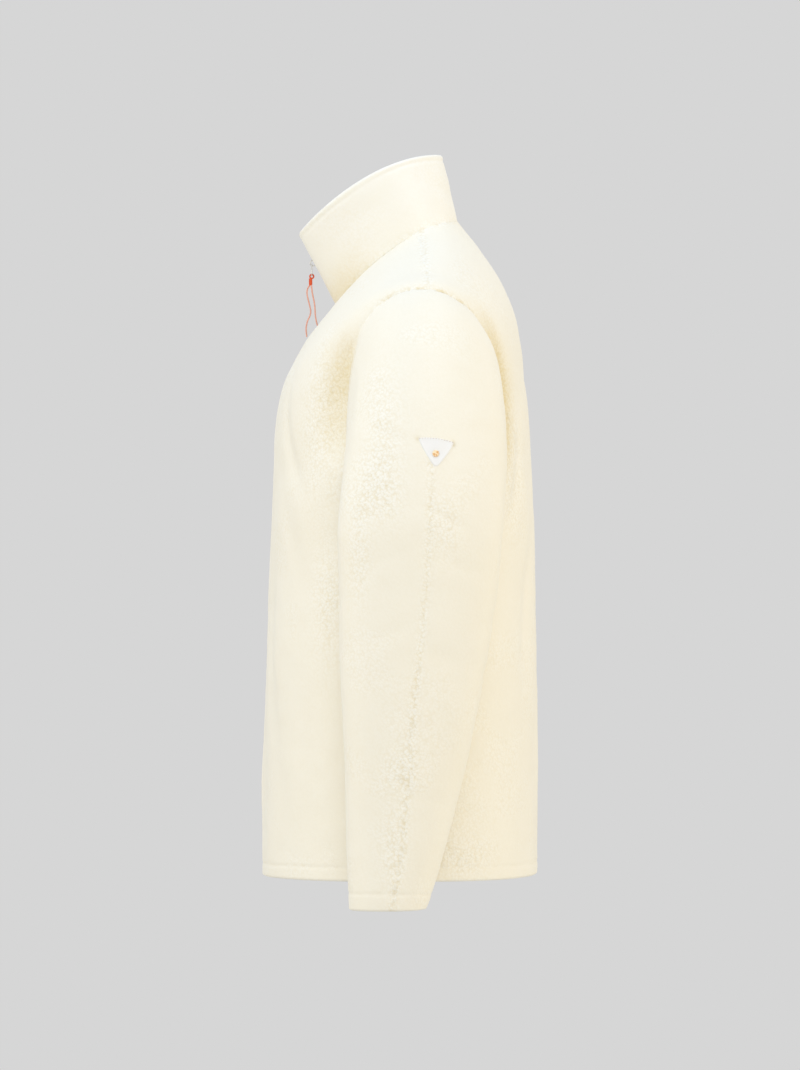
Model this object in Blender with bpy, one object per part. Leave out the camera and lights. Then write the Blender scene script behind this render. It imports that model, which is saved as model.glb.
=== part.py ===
"""A zip-up fleece jacket with a stand collar, filled out as if worn, in metres with +Z up.

The jacket faces -Y and the wearer's left is +X. The origin lies between the shoulders, level with the
neck ends of the shoulder seams. Every cloth piece is a closed wall, lofted through rings whose sizes
stand in the tables below, and the seams between the pieces are open by SEAM_GAP.
"""

import math

import bmesh
import bpy
import numpy as np
from mathutils import Matrix

MM = 0.001

# --- driving sizes ---------------------------------------------------------------------------------
FLEECE = 5.0 * MM  # backing and pile of the body cloth
COLLAR_CLOTH = 6.0 * MM  # the collar is two layers, pressed together
SEAM_GAP = 0.3 * MM  # clearance between sewn pieces, and under whatever lies on a piece
ZIP_CHANNEL = 4.5 * MM  # from the centre front to the edge of the cloth
TAPE_EDGE = 17.0 * MM  # from the centre front to the far edge of the zip tape

# Rings of the torso, from the neck seam down to the hem. A ring runs through a front, a side and a
# back point; "square" is the exponent of its plan curve, 2 for an ellipse and more for a squarer one.
RING_COLUMNS = ("x_side", "y_front", "y_side", "y_back", "z_front", "z_side", "z_back", "square")
TORSO_RINGS = {
    "neck": (0.0720, -0.0835, 0.000, 0.0375, -0.072, 0.000, 0.012, 2.0),
    "yoke_high": (0.1020, -0.0975, 0.002, 0.0585, -0.088, -0.012, -0.016, 2.1),
    "yoke_middle": (0.1350, -0.1125, 0.004, 0.0790, -0.107, -0.027, -0.047, 2.2),
    "yoke_low": (0.1685, -0.1255, 0.006, 0.0932, -0.130, -0.044, -0.080, 2.3),
    "shoulder_end": (0.1980, -0.1360, 0.007, 0.0998, -0.153, -0.062, -0.112, 2.4),
    "arm_high": (0.2060, -0.1420, 0.005, 0.1042, -0.180, -0.104, -0.147, 2.45),
    "arm_middle": (0.2085, -0.1447, 0.002, 0.1080, -0.207, -0.151, -0.180, 2.5),
    "arm_low": (0.2080, -0.1452, -0.001, 0.1100, -0.233, -0.199, -0.213, 2.5),
    "underarm": (0.2065, -0.1462, -0.004, 0.1120, -0.262, -0.244, -0.250, 2.5),
    "chest": (0.2050, -0.1497, -0.010, 0.1148, -0.320, -0.310, -0.313, 2.5),
    "waist": (0.2050, -0.1530, -0.015, 0.1164, -0.405, -0.400, -0.402, 2.5),
    "hip": (0.2060, -0.1552, -0.020, 0.1166, -0.520, -0.518, -0.520, 2.5),
    "hem": (0.2070, -0.1570, -0.020, 0.1160, -0.640, -0.640, -0.640, 2.5),
}
SHOULDER_END = list(TORSO_RINGS).index("shoulder_end")
UNDERARM = list(TORSO_RINGS).index("underarm")
HEM = len(TORSO_RINGS) - 1

# Rings of the collar, from the neck seam up to its top edge. The zip's slider stops on the upper half.
COLLAR_RINGS = {
    "neck": (0.0720, -0.0835, 0.000, 0.0375, -0.072, 0.000, 0.012, 2.0),
    "middle": (0.0705, -0.1025, -0.020, 0.0302, -0.037, 0.0312, 0.0455, 2.0),
    "edge": (0.0680, -0.1225, -0.040, 0.0220, -0.001, 0.0610, 0.0782, 2.0),
}
SLIDER_PLACE = 1.2  # on the collar's rings

# Level rings of the left sleeve, below the bend of the upper arm. Both its seams lie at y_seam.
SLEEVE_COLUMNS = ("x_inner", "x_outer", "y_front", "y_seam", "y_back", "z")
SLEEVE_RINGS = {
    "upper_arm": (0.2140, 0.3080, -0.0796, 0.0079, 0.0780, -0.310),
    "above_elbow": (0.2155, 0.3085, -0.0790, 0.0043, 0.0742, -0.360),
    "elbow": (0.2175, 0.3085, -0.0781, -0.0005, 0.0670, -0.410),
    "forearm": (0.2200, 0.3065, -0.0760, -0.0084, 0.0534, -0.482),
    "low_forearm": (0.2225, 0.3040, -0.0739, -0.0127, 0.0400, -0.541),
    "wrist": (0.2250, 0.3005, -0.0715, -0.0178, 0.0251, -0.600),
    "cuff_seam": (0.2267, 0.2978, -0.0692, -0.0256, 0.0114, -0.6486),
    "cuff": (0.2275, 0.2965, -0.0684, -0.0279, 0.0057, -0.665),
}
SLEEVE_SQUARE = 2.15
CUFF = len(SLEEVE_RINGS)  # the stretch from the armhole to the upper arm is one more, from 0 to 1

# Folds of the filled-out torso. Phases and waves count in radians, for the front and for the back.
ROUNDED = 0.5  # how much of a ring is mixed from its neighbours, halfway between centre and side
TROUGH_DEPTH = (6.0 * MM, 5.0 * MM)  # beside the armhole
TROUGH_FROM_SEAM = 0.05  # from the armhole's seam, as a share of a quarter ring
TROUGH_WIDTH = 0.13
FLUTE_DEPTH = 2.4 * MM
FLUTE_START = 3.5  # rings from the underarm over which the flutes grow
# Each flute's share of the depth, waves to a quarter ring, lean to a ring, and phases
FLUTES = ((0.6, 7.5, 0.0, (0.2, 1.4)), (0.4, 12.0, 0.45, (1.0, 2.6)))
SLACK_DEPTH = 1.6 * MM  # slanting folds about the waist
SLACK_WAVES = (2.3, 3.2)  # to a ring, and to a quarter ring round
SLACK_PLACE = 8.6
SLACK_REACH = 2.6
FLAT_CENTRE = (0.06, 0.25)  # the folds fade in from here on, over this share of a quarter ring

# The armhole, as shares of a quarter ring cut out of the torso to the front and back of the side.
ARMHOLE_FRONT = 27.5 / 90
ARMHOLE_BACK = 44 / 90
ARMHOLE_SQUARE = 2.5
SLEEVE_FULLNESS = 0.80  # how far the sleeve runs straight on from either end before it bends
# How far the sleeve turns out of the torso's face at the armhole, in degrees: 35 at the shoulder, 42 at
# the front and the back, and 80 under the arm
LEAN_MEAN = 49.75
LEAN_ONCE = -22.5
LEAN_TWICE = 7.75

# Grid lines of the walls
YOKE_ROWS = 5
ARMHOLE_ROWS = 11
BODY_ROWS = (8.45, 9, 9.6, 10, 10.5, 11, 11.5, 12)
COLLAR_ROWS = (0, 0.35, 0.7, 1.1, 1.3, 1.65, 2)
FRONT_COLUMNS = 8
BACK_COLUMNS = 9
CAP_ROWS = (0, 0.12, 0.26, 0.42, 0.6, 0.8, 1)
SLEEVE_ROWS = (1.5, 2, 2.5, 3, 3.5, 4, 5, 6, 7, 8)

ON_SLEEVE_START = 0.62  # place on the sleeve where the search for the badge's points begins
ON_SLEEVE_ROUNDS = 12

# --- zip and pull ----------------------------------------------------------------------------------
TEETH_HALF_GAP = 0.2 * MM
TEETH_WIDTH = 3.2 * MM
TEETH_DEPTH = 2.6 * MM
TAPE_THICK = 1.0 * MM
TEETH_TOP = 1.93  # on the collar's rings
# How far the halves of the open zip stand from the centre, over the places on the collar's rings
OPEN_PLACES = (1.1, 1.3, 1.65, 2.0)
OPEN_SPREAD = (0.0, 1.5 * MM, 3.0 * MM, 4.0 * MM)
SLIDER_WIDTH = 7.6 * MM
SLIDER_HEIGHT = 12.0 * MM
SLIDER_PLATE = 1.4 * MM
SLIDER_NECK = (1.6 * MM, 3.0 * MM)
SLIDER_NECK_RISE = 2.6 * MM
SLIDER_BEVEL = 0.4 * MM
NECK_BEVEL = 0.2 * MM
BAIL_WIRE = 0.6 * MM
BAIL_HALF_HEIGHT = 3.4 * MM
BAIL_STAND = 6.1 * MM
BOX_HEIGHT = 10.0 * MM
BOX_WIDTH = 8.2 * MM
BOX_BELOW_PILE = 1.6 * MM
BOX_ABOVE_HEM = 0.5 * MM
BOX_BEVEL = 0.5 * MM
TAPE_ABOVE_HEM = 2.0 * MM
TEETH_ABOVE_BOX = 1.0 * MM
PIVOT_Y = -0.1082
PIVOT_Z = -0.0310
PULLER_LENGTH = 12.0 * MM  # from the pivot to the bar that holds the cord
PULLER_HALF_WIDTH = 1.6 * MM
PULLER_WIRE = 0.45 * MM
CORD_RADIUS = 0.75 * MM
CORD_LOOP_RADIUS = 1.9 * MM
CORD_SHEATH = (3.0 * MM, 3.6 * MM, 5.6 * MM)
SHEATH_FORWARD = 1.2 * MM
SHEATH_BEVEL = 0.6 * MM
PULLER_SQUARE = (0.5, 0.35)  # powers of its plan across and along
# Routes of the cord's two free ends, down from the sheath, chosen by eye: (x, y, z) in mm
CORD_ROUTES = {
    "cord_tail_front": (
        (-0.8, -110.3, -52.2), (-1.0, -112.0, -54.8), (-1.2, -113.0, -58.2), (-1.5, -112.7, -62.8),
        (-1.9, -111.2, -69.2), (-2.2, -109.7, -75.4), (-2.4, -109.4, -79.6), (-2.4, -110.4, -83.3),
        (-2.3, -112.4, -87.6), (-2.2, -113.6, -92.5), (-2.1, -113.9, -97.0), (-2.0, -113.5, -101.2),
        (-2.0, -113.2, -104.0),
    ),
    "cord_tail_back": (
        (0.8, -108.7, -52.1), (1.0, -108.2, -55.6), (1.2, -107.7, -60.0), (1.5, -106.6, -65.2),
        (1.7, -105.5, -71.0), (1.8, -105.0, -76.8), (1.8, -104.6, -82.8), (1.7, -103.6, -88.6),
        (1.6, -102.3, -93.4),
    ),
}

# The badge on the left sleeve: a rounded triangle, point down, above the middle of the outer seam
BADGE_THICK = 1.2 * MM
BADGE_Y = 0.0148
BADGE_TOP_Z = -0.2085
BADGE_HEIGHT = 27.5 * MM
BADGE_HALF_WIDTH = 17.0 * MM
BADGE_TAPER = (0.90, 1.25)  # how much narrower it is at its point, and the power of the way down
BADGE_ARCH = 2.0 * MM  # how far its top corners hang below the middle

# --- materials: colour, roughness, metallic ----------------------------------------------------------
FINISHES = {
    "fleece": ((0.90, 0.86, 0.76), 0.95, 0.0),
    "zip_tape": ((0.86, 0.82, 0.72), 0.90, 0.0),
    "zip_teeth": ((0.85, 0.81, 0.71), 0.45, 0.0),
    "zip_metal": ((0.55, 0.54, 0.52), 0.35, 1.0),
    "coral_cord": ((0.75, 0.13, 0.04), 0.80, 0.0),
    "badge": ((0.90, 0.89, 0.87), 0.55, 0.0),
}

# --- smooth curves through the tables ----------------------------------------------------------------


def through(table, columns, place):
    """The table's columns at fractional row numbers, on cubic curves that pass through every row."""
    rows = np.array(list(table.values()))
    slope = np.gradient(rows, axis=0)
    place = np.clip(np.asarray(place, float), 0, len(rows) - 1)
    low = np.minimum(place.astype(int), len(rows) - 2)
    u = (place - low)[..., None]
    curve = (
        (2 * u**3 - 3 * u**2 + 1) * rows[low]
        + (u**3 - 2 * u**2 + u) * slope[low]
        + (3 * u**2 - 2 * u**3) * rows[low + 1]
        + (u**3 - u**2) * slope[low + 1]
    )
    return {name: curve[..., k] for k, name in enumerate(columns)}


def power(value, exponent):
    """value to a power, keeping its sign."""
    return np.sign(value) * np.abs(value) ** exponent


def smooth(value):
    """0 below 0, 1 above 1 and a soft step between."""
    value = np.clip(value, 0, 1)
    return value * value * (3 - 2 * value)


def unit(vectors):
    """The vectors at length 1."""
    return vectors / np.maximum(np.linalg.norm(vectors, axis=-1, keepdims=True), 1e-12)


def normals(surface, first, second, step=0.01):
    """Unit normals of surface(first, second): the slope along first, crossed into that along second."""
    along_first = surface(first + step, second) - surface(first - step, second)
    along_second = surface(first, second + step) - surface(first, second - step)
    return unit(np.cross(along_first, along_second))


# --- torso and collar --------------------------------------------------------------------------------


def open_spread(place):
    """How far the open zip has moved the front edge aside, at a place on the collar's rings."""
    return np.interp(place, OPEN_PLACES, OPEN_SPREAD)


def ring_point(table, place, around, channel):
    """A point of a table's rings. around is 0 at the centre front, 1 at the left side, 2 at the back."""
    row = through(table, RING_COLUMNS, place)
    front = np.asarray(around) <= 1
    angle = np.where(front, around, 2 - np.asarray(around)) * math.pi / 2
    centre = np.where(front, row["y_front"], row["y_back"])
    gap = np.where(front, channel, 0.0)
    bend = 2 / row["square"]
    x = gap + (row["x_side"] - gap) * power(np.sin(angle), bend)
    y = row["y_side"] + (centre - row["y_side"]) * power(np.cos(angle), bend)
    depth = row["y_back"] - row["y_front"]
    share = (y - row["y_front"]) / depth
    side = (row["y_side"] - row["y_front"]) / depth
    side_line = row["z_front"] + (row["z_back"] - row["z_front"]) * side
    rise = (row["z_side"] - side_line) / (4 * side * (1 - side))
    z = row["z_front"] + (row["z_back"] - row["z_front"]) * share + 4 * rise * share * (1 - share)
    return np.stack([x, y, z], axis=-1)


def around_at(table, place, x, channel):
    """Where on the front half of a ring the given x lies; below 0 inside the zip's channel."""
    row = through(table, RING_COLUMNS, place)
    share = (x - channel) / (row["x_side"] - channel)
    return np.arcsin(power(share, row["square"] / 2)) / (math.pi / 2)


def plain_torso(place, around):
    """The torso's rings without folds.

    The shoulder's corner is kept at the side, and blurred over a ring either way between the side and
    the centre, where the chest and the shoulder blades are round.
    """
    place, around = np.broadcast_arrays(np.asarray(place, float), np.asarray(around, float))
    upper_body = smooth(place) * smooth((UNDERARM + 2 - place) / 2)
    soft = (ROUNDED * np.sin(math.pi * around) ** 2 * upper_body)[..., None]
    here = ring_point(TORSO_RINGS, place, around, ZIP_CHANNEL)
    above = ring_point(TORSO_RINGS, place - 1, around, ZIP_CHANNEL)
    below = ring_point(TORSO_RINGS, place + 1, around, ZIP_CHANNEL)
    return here * (1 - soft) + (above + below) * soft / 2


def armhole_opening(place):
    """The armhole's width at a ring as a share of its full width, 0 above and below the armhole."""
    along = np.clip((place - SHOULDER_END) / (UNDERARM - SHOULDER_END), 0, 1)
    inside = np.maximum(1 - np.abs(2 * along - 1) ** ARMHOLE_SQUARE, 0)
    return inside ** (1 / ARMHOLE_SQUARE)


def drape(place, around):
    """How far the cloth stands out of the plain rings: troughs by the armholes, and slack folds."""
    front = np.asarray(around) <= 1
    from_centre = np.where(front, around, 2 - np.asarray(around))
    opening = armhole_opening(place)
    edge = 1 - np.where(front, ARMHOLE_FRONT, ARMHOLE_BACK) * opening
    along = np.clip((place - SHOULDER_END) / (UNDERARM - SHOULDER_END), 0, 1)
    past_edge = (edge - TROUGH_FROM_SEAM - from_centre) / TROUGH_WIDTH
    trough = np.exp(-(past_edge**2)) * np.sin(math.pi * along) ** 2
    below = smooth((place - UNDERARM) / FLUTE_START)
    flutes = sum(
        share * np.sin(waves * from_centre + lean * place + np.where(front, *phases))
        for share, waves, lean, phases in FLUTES
    )
    slack = np.sin(SLACK_WAVES[0] * (place - UNDERARM) + SLACK_WAVES[1] * from_centre)
    slack = slack * smooth(1 - np.abs(place - SLACK_PLACE) / SLACK_REACH)
    at_centre = smooth((from_centre - FLAT_CENTRE[0]) / FLAT_CENTRE[1])
    hanging = FLUTE_DEPTH * below * flutes + SLACK_DEPTH * slack
    return at_centre * hanging - np.where(front, *TROUGH_DEPTH) * trough


def torso_normal(place, around):
    """The torso's outward normal."""
    return normals(plain_torso, place, around)


def torso(place, around):
    """The torso's outer face, at the tips of the pile."""
    return plain_torso(place, around) + torso_normal(place, around) * drape(place, around)[..., None]


def collar(place, around):
    """The collar's outer face."""
    return ring_point(COLLAR_RINGS, place, around, ZIP_CHANNEL + open_spread(place))


def collar_normal(place, around):
    """The collar's outward normal."""
    return -normals(collar, place, around)


def neck_normal(around):
    """The direction through the cloth at the neck seam, shared by the collar and the torso."""
    start = np.zeros_like(around)
    return unit(torso_normal(start, around) + collar_normal(start, around))


def wall_direction(place, around):
    """The direction through the torso's cloth, which turns into the neck seam's at its top row."""
    at_neck = (np.asarray(place) < 1e-6)[..., None]
    return np.where(at_neck, neck_normal(around), torso_normal(place, around))


def collar_thickness(place):
    """The collar's cloth starts as thick as the torso's at the neck seam."""
    return (FLEECE + (COLLAR_CLOTH - FLEECE) * smooth(place / COLLAR_ROWS[1]))[..., None]


def collar_direction(place, around):
    """The direction through the collar's cloth."""
    at_neck = (np.asarray(place) < 1e-6)[..., None]
    return np.where(at_neck, neck_normal(around), collar_normal(place, around))


# --- walls -------------------------------------------------------------------------------------------


def pull_edges(outer, inner, rows=(False, False), columns=(False, False)):
    """Both faces of a wall, drawn in by half the seam gap at the first or last row or column."""
    for face in (outer, inner):
        before = face.copy()
        if rows[0]:
            face[0] += unit(before[1] - before[0]) * SEAM_GAP / 2
        if rows[1]:
            face[-1] += unit(before[-2] - before[-1]) * SEAM_GAP / 2
        if columns[0]:
            face[:, 0] += unit(before[:, 1] - before[:, 0]) * SEAM_GAP / 2
        if columns[1]:
            face[:, -1] += unit(before[:, -2] - before[:, -1]) * SEAM_GAP / 2


def mirrored(grid):
    """A grid mirrored to the other side, its columns turned round so that it still faces out."""
    return grid[:, ::-1] * np.array([-1.0, 1.0, 1.0])


def both_sides(left):
    """A grid that ends at the centre, carried on by its mirror image."""
    return np.concatenate([left, mirrored(left)[:, 1:]], axis=1)


def finish(name):
    """The material of that name, made once."""
    if name in bpy.data.materials:
        return bpy.data.materials[name]
    colour, roughness, metallic = FINISHES[name]
    material = bpy.data.materials.new(name)
    material.use_nodes = True
    shader = material.node_tree.nodes["Principled BSDF"]
    shader.inputs["Base Color"].default_value = (*colour, 1)
    shader.inputs["Roughness"].default_value = roughness
    shader.inputs["Metallic"].default_value = metallic
    return material


def add_object(name, mesh, material):
    """A named object of the jacket's collection."""
    part = bpy.data.objects.new(name, mesh)
    mesh.materials.append(finish(material))
    jacket.objects.link(part)
    return part


def add_wall(name, outer, inner, material):
    """A closed wall between two grids of points, whose rows crossed into columns point outwards."""
    rows, columns = outer.shape[:2]
    index = np.arange(rows * columns).reshape(rows, columns)
    quads = np.stack([index[:-1, :-1], index[1:, :-1], index[1:, 1:], index[:-1, 1:]], axis=-1)
    quads = quads.reshape(-1, 4)
    loop = np.concatenate([index[:-1, 0], index[-1, :-1], index[:0:-1, -1], index[0, :0:-1]])
    after = np.roll(loop, -1)
    size = rows * columns
    points = np.concatenate([outer.reshape(-1, 3), inner.reshape(-1, 3)])
    # Both sides of a seam split their end faces the same way, from the higher outer point.
    height = points @ np.array([0.11, 0.37, 1.0])
    falls = (height[loop] > height[after])[:, None]
    near = np.where(
        falls,
        np.stack([after, loop, after + size], axis=-1),
        np.stack([after, loop, loop + size], axis=-1),
    )
    far = np.where(
        falls,
        np.stack([loop, loop + size, after + size], axis=-1),
        np.stack([after, loop + size, after + size], axis=-1),
    )
    faces = [*quads.tolist(), *(quads[:, ::-1] + size).tolist(), *near.tolist(), *far.tolist()]
    mesh = bpy.data.meshes.new(name)
    mesh.from_pydata(points.tolist(), [], faces)
    mesh.shade_smooth()
    mesh.set_sharp_from_angle(angle=math.radians(50))
    return add_object(name, mesh, material)


# --- the torso's pieces ------------------------------------------------------------------------------


def armhole_turn(turn):
    """Ring and place around of the armhole at a turn: 0 at the shoulder, 0.25 back, 0.5 underarm."""
    angle = 2 * math.pi * np.asarray(turn)
    along = (1 - power(np.cos(angle), 2 / ARMHOLE_SQUARE)) / 2
    place = SHOULDER_END + along * (UNDERARM - SHOULDER_END)
    wide = power(np.sin(angle), 2 / ARMHOLE_SQUARE)
    around = 1 + np.where(wide > 0, ARMHOLE_BACK, ARMHOLE_FRONT) * wide
    return place, around


def armhole(turn):
    """A point of the armhole's seam."""
    return torso(*armhole_turn(turn))


def into_armhole(turn):
    """The direction in the torso's face that points from the armhole's seam into its opening."""
    along = unit(armhole(turn + 0.004) - armhole(turn - 0.004))
    return unit(np.cross(along, torso_normal(*armhole_turn(turn))))


def torso_rows():
    """The torso's rows, with those beside the armhole where the sleeve's columns meet them."""
    yoke = np.linspace(0, SHOULDER_END, YOKE_ROWS)[:-1]
    beside, _ = armhole_turn(np.linspace(0, 0.5, ARMHOLE_ROWS + 1))
    return np.concatenate([yoke, beside, BODY_ROWS])


def front_columns(tape, edge):
    """Places around for the columns of a front: its edge, the zip tape's far edge, then on to the side."""
    rest = tape[:, None] + (edge - tape)[:, None] * np.linspace(0, 1, FRONT_COLUMNS)
    return np.concatenate([np.zeros((len(rest), 1)), rest], axis=1)


def back_columns(edge):
    """Places around for the columns of the back's left half."""
    return edge[:, None] + (2 - edge)[:, None] * np.linspace(0, 1, BACK_COLUMNS)


def panel(back):
    """Outer and inner face of the left front, or of the left half of the back."""
    place = torso_rows()
    first_beside = YOKE_ROWS - 1
    beside = slice(first_beside, first_beside + ARMHOLE_ROWS + 1)
    turns = np.linspace(0, 0.5, ARMHOLE_ROWS + 1)
    edge = np.ones_like(place)
    edge[beside] = armhole_turn(turns if back else 1 - turns)[1]
    if back:
        around = back_columns(edge)
    else:
        around = front_columns(around_at(TORSO_RINGS, place, TAPE_EDGE, ZIP_CHANNEL), edge)
    place = np.broadcast_to(place[:, None], around.shape)
    outer = torso(place, around)
    inner = outer - wall_direction(place, around) * FLEECE
    pull_edges(outer, inner, rows=(True, False), columns=(back, not back))
    side = 0 if back else -1
    away = into_armhole(turns if back else 1 - turns) * SEAM_GAP / 2
    for face in (outer, inner):
        face[beside, side] -= away
    return outer, inner


def add_torso():
    """The two fronts and the back."""
    outer, inner = panel(back=False)
    add_wall("front_left", outer, inner, "fleece")
    add_wall("front_right", mirrored(outer), mirrored(inner), "fleece")
    outer, inner = panel(back=True)
    add_wall("back", both_sides(outer), both_sides(inner), "fleece")


def add_collar():
    """The stand collar, from one front edge round the back of the neck to the other."""
    place = np.array(COLLAR_ROWS[::-1], float)
    channel = ZIP_CHANNEL + open_spread(place)
    tape = around_at(COLLAR_RINGS, place, TAPE_EDGE + open_spread(place), channel)
    side = np.ones_like(place)
    around = np.concatenate([front_columns(tape, side), back_columns(side)[:, 1:]], axis=1)
    place = np.broadcast_to(place[:, None], around.shape)
    outer = collar(place, around)
    inner = outer - collar_direction(place, around) * collar_thickness(place)
    pull_edges(outer, inner, rows=(False, True))
    add_wall("collar", both_sides(outer), both_sides(inner), "fleece")


# --- the sleeves -------------------------------------------------------------------------------------


def sleeve_ring(place, turn):
    """A point of the sleeve's level rings. turn is 0 at the outer seam, 0.25 back, 0.5 inner seam."""
    row = through(SLEEVE_RINGS, SLEEVE_COLUMNS, place)
    angle = 2 * math.pi * turn
    bend = 2 / SLEEVE_SQUARE
    half = (row["x_outer"] - row["x_inner"]) / 2
    x = row["x_inner"] + half * (1 + power(np.cos(angle), bend))
    reach = np.where(np.sin(angle) > 0, row["y_back"] - row["y_seam"], row["y_seam"] - row["y_front"])
    y = row["y_seam"] + reach * power(np.sin(angle), bend)
    return np.stack(np.broadcast_arrays(x, y, row["z"]), axis=-1)


def sleeve(place, turn):
    """The left sleeve's outer face: from the armhole at 0 to the upper arm at 1, and the cuff at CUFF."""
    place, turn = np.broadcast_arrays(np.asarray(place, float), np.asarray(turn, float))
    angle = 2 * math.pi * turn
    lean = np.radians(LEAN_MEAN + LEAN_ONCE * np.cos(angle) + LEAN_TWICE * np.cos(2 * angle))[..., None]
    start = armhole(turn) + into_armhole(turn) * SEAM_GAP / 2
    leave = into_armhole(turn) * np.cos(lean) + torso_normal(*armhole_turn(turn)) * np.sin(lean)
    first_ring = np.zeros_like(turn)
    end = sleeve_ring(first_ring, turn)
    arrive = unit(sleeve_ring(first_ring + 0.05, turn) - end)
    reach = np.linalg.norm(end - start, axis=-1, keepdims=True) * SLEEVE_FULLNESS
    u = np.clip(place, 0, 1)[..., None]
    cap = (
        (2 * u**3 - 3 * u**2 + 1) * start
        + (u**3 - 2 * u**2 + u) * leave * reach
        + (3 * u**2 - 2 * u**3) * end
        + (u**3 - u**2) * arrive * reach
    )
    return np.where((place <= 1)[..., None], cap, sleeve_ring(np.maximum(place - 1, 0), turn))


def sleeve_direction(place, turn):
    """The direction out through the sleeve's cloth, which is the torso's at the armhole's seam."""
    place, turn = np.broadcast_arrays(np.asarray(place, float), np.asarray(turn, float))
    inside = np.clip(place, 0.02, CUFF - 0.02)
    own = normals(sleeve, inside, turn)
    return np.where((place < 1e-6)[..., None], torso_normal(*armhole_turn(turn)), own)


def add_sleeves():
    """Each sleeve is a back and a front half, sewn along the outer and the inner seam."""
    rows = np.array(CAP_ROWS + SLEEVE_ROWS)
    for half, first in (("back", 0.0), ("front", 0.5)):
        turn = first + np.linspace(0, 0.5, ARMHOLE_ROWS + 1)
        place, turn = np.meshgrid(rows, turn, indexing="ij")
        outer = sleeve(place, turn)
        inner = outer - sleeve_direction(place, turn) * FLEECE
        pull_edges(outer, inner, columns=(True, True))
        add_wall("sleeve_left_" + half, outer, inner, "fleece")
        add_wall("sleeve_right_" + half, mirrored(outer), mirrored(inner), "fleece")


def on_sleeve(y, z):
    """Place and turn of the points on the outside of the left sleeve with the given y and z."""
    place = np.full_like(y, ON_SLEEVE_START)
    turn = np.zeros_like(y)
    step = 1e-3
    for _ in range(ON_SLEEVE_ROUNDS):
        here = sleeve(place, turn)
        by_place = (sleeve(place + step, turn) - here) / step
        by_turn = (sleeve(place, turn + step) - here) / step
        miss_y, miss_z = y - here[..., 1], z - here[..., 2]
        spread = by_place[..., 1] * by_turn[..., 2] - by_place[..., 2] * by_turn[..., 1]
        place = place + (miss_y * by_turn[..., 2] - miss_z * by_turn[..., 1]) / spread
        turn = turn + (miss_z * by_place[..., 1] - miss_y * by_place[..., 2]) / spread
    return place, turn


def add_badge():
    """A small badge on the left sleeve, point down, that follows the sleeve a seam's gap above it."""
    down, across = np.meshgrid(np.linspace(0, 1, 7), np.linspace(-1, 1, 7), indexing="ij")
    half_width = BADGE_HALF_WIDTH * (1 - BADGE_TAPER[0] * down ** BADGE_TAPER[1])
    y = BADGE_Y + across * half_width
    z = BADGE_TOP_Z - BADGE_HEIGHT * down - BADGE_ARCH * across**2 * (1 - down)
    place, turn = on_sleeve(y, z)
    cloth = sleeve(place, turn)
    out = sleeve_direction(place, turn)
    outer = cloth + out * (SEAM_GAP + BADGE_THICK)
    inner = cloth + out * SEAM_GAP
    add_wall("sleeve_badge", outer, inner, "badge")


# --- the zip -----------------------------------------------------------------------------------------


def front_strip(x_from, x_to, depth_from, depth_to, hem_gap, top_place):
    """A strip along the left front edge, between two distances from the centre and two depths.

    Depths count from the back of the cloth towards the inside, so that a strip keeps to the cloth.
    """
    torso_place = torso_rows()[::-1].copy()
    collar_place = np.minimum(np.array(COLLAR_ROWS[1:]), top_place)
    faces = []
    for depth in (depth_from, depth_to):
        columns = []
        for x in (x_from, ZIP_CHANNEL, x_to) if x_to > ZIP_CHANNEL else (x_from, x_to):
            around = around_at(TORSO_RINGS, torso_place, x, ZIP_CHANNEL)
            low = torso(torso_place, around)
            low = low - wall_direction(torso_place, around) * (FLEECE + depth)
            spread = open_spread(collar_place)
            around = around_at(COLLAR_RINGS, collar_place, x + spread, ZIP_CHANNEL + spread)
            high = collar(collar_place, around)
            through_cloth = collar_thickness(collar_place)
            high = high - collar_direction(collar_place, around) * (through_cloth + depth)
            low[0] = low[0] + unit(low[1] - low[0]) * hem_gap
            columns.append(np.concatenate([low, high])[::-1])
        faces.append(np.stack(columns, axis=1))
    return faces


def add_zip():
    """Tapes behind the front edges, a row of teeth on each, and the box at the bottom."""
    tape = front_strip(TEETH_HALF_GAP, TAPE_EDGE, SEAM_GAP, SEAM_GAP + TAPE_THICK, TAPE_ABOVE_HEM, TEETH_TOP)
    teeth_end = TEETH_HALF_GAP + TEETH_WIDTH
    teeth = front_strip(TEETH_HALF_GAP, teeth_end, -TEETH_DEPTH, 0.0, BOX_HEIGHT + TEETH_ABOVE_BOX, TEETH_TOP)
    for name, (outer, inner), material in (
        ("zip_tape", tape, "zip_tape"),
        ("zip_teeth", teeth, "zip_teeth"),
    ):
        add_wall(name + "_left", outer, inner, material)
        add_wall(name + "_right", mirrored(outer), mirrored(inner), material)


def zip_frame(table, place, up_step):
    """The frame of the zip at a ring: its centre point, the way up and the way out."""
    here = ring_point(table, np.array(place, float), 0.0, 0.0)
    up = unit(ring_point(table, np.array(place + up_step), 0.0, 0.0) - here)
    out = np.array([0, -up[2], up[1]])
    return here, up, out


def in_frame(mesh, frame):
    """Move a mesh made in (across, up, out) into a frame of the zip."""
    here, up, out = frame
    matrix = np.eye(4)
    matrix[:3, :3] = np.stack([np.cross(up, out), up, out], axis=1)
    matrix[:3, 3] = here
    mesh.transform(Matrix(matrix.tolist()))
    return mesh


def block(size, centre, bevel):
    """A box mesh with bevelled edges."""
    shape = bmesh.new()
    bmesh.ops.create_cube(shape, size=1)
    bmesh.ops.scale(shape, vec=size, verts=shape.verts)
    bmesh.ops.bevel(shape, geom=list(shape.edges), offset=bevel, segments=1, affect="EDGES")
    bmesh.ops.translate(shape, vec=centre, verts=shape.verts)
    mesh = bpy.data.meshes.new("block")
    shape.to_mesh(mesh)
    shape.free()
    return mesh


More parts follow.
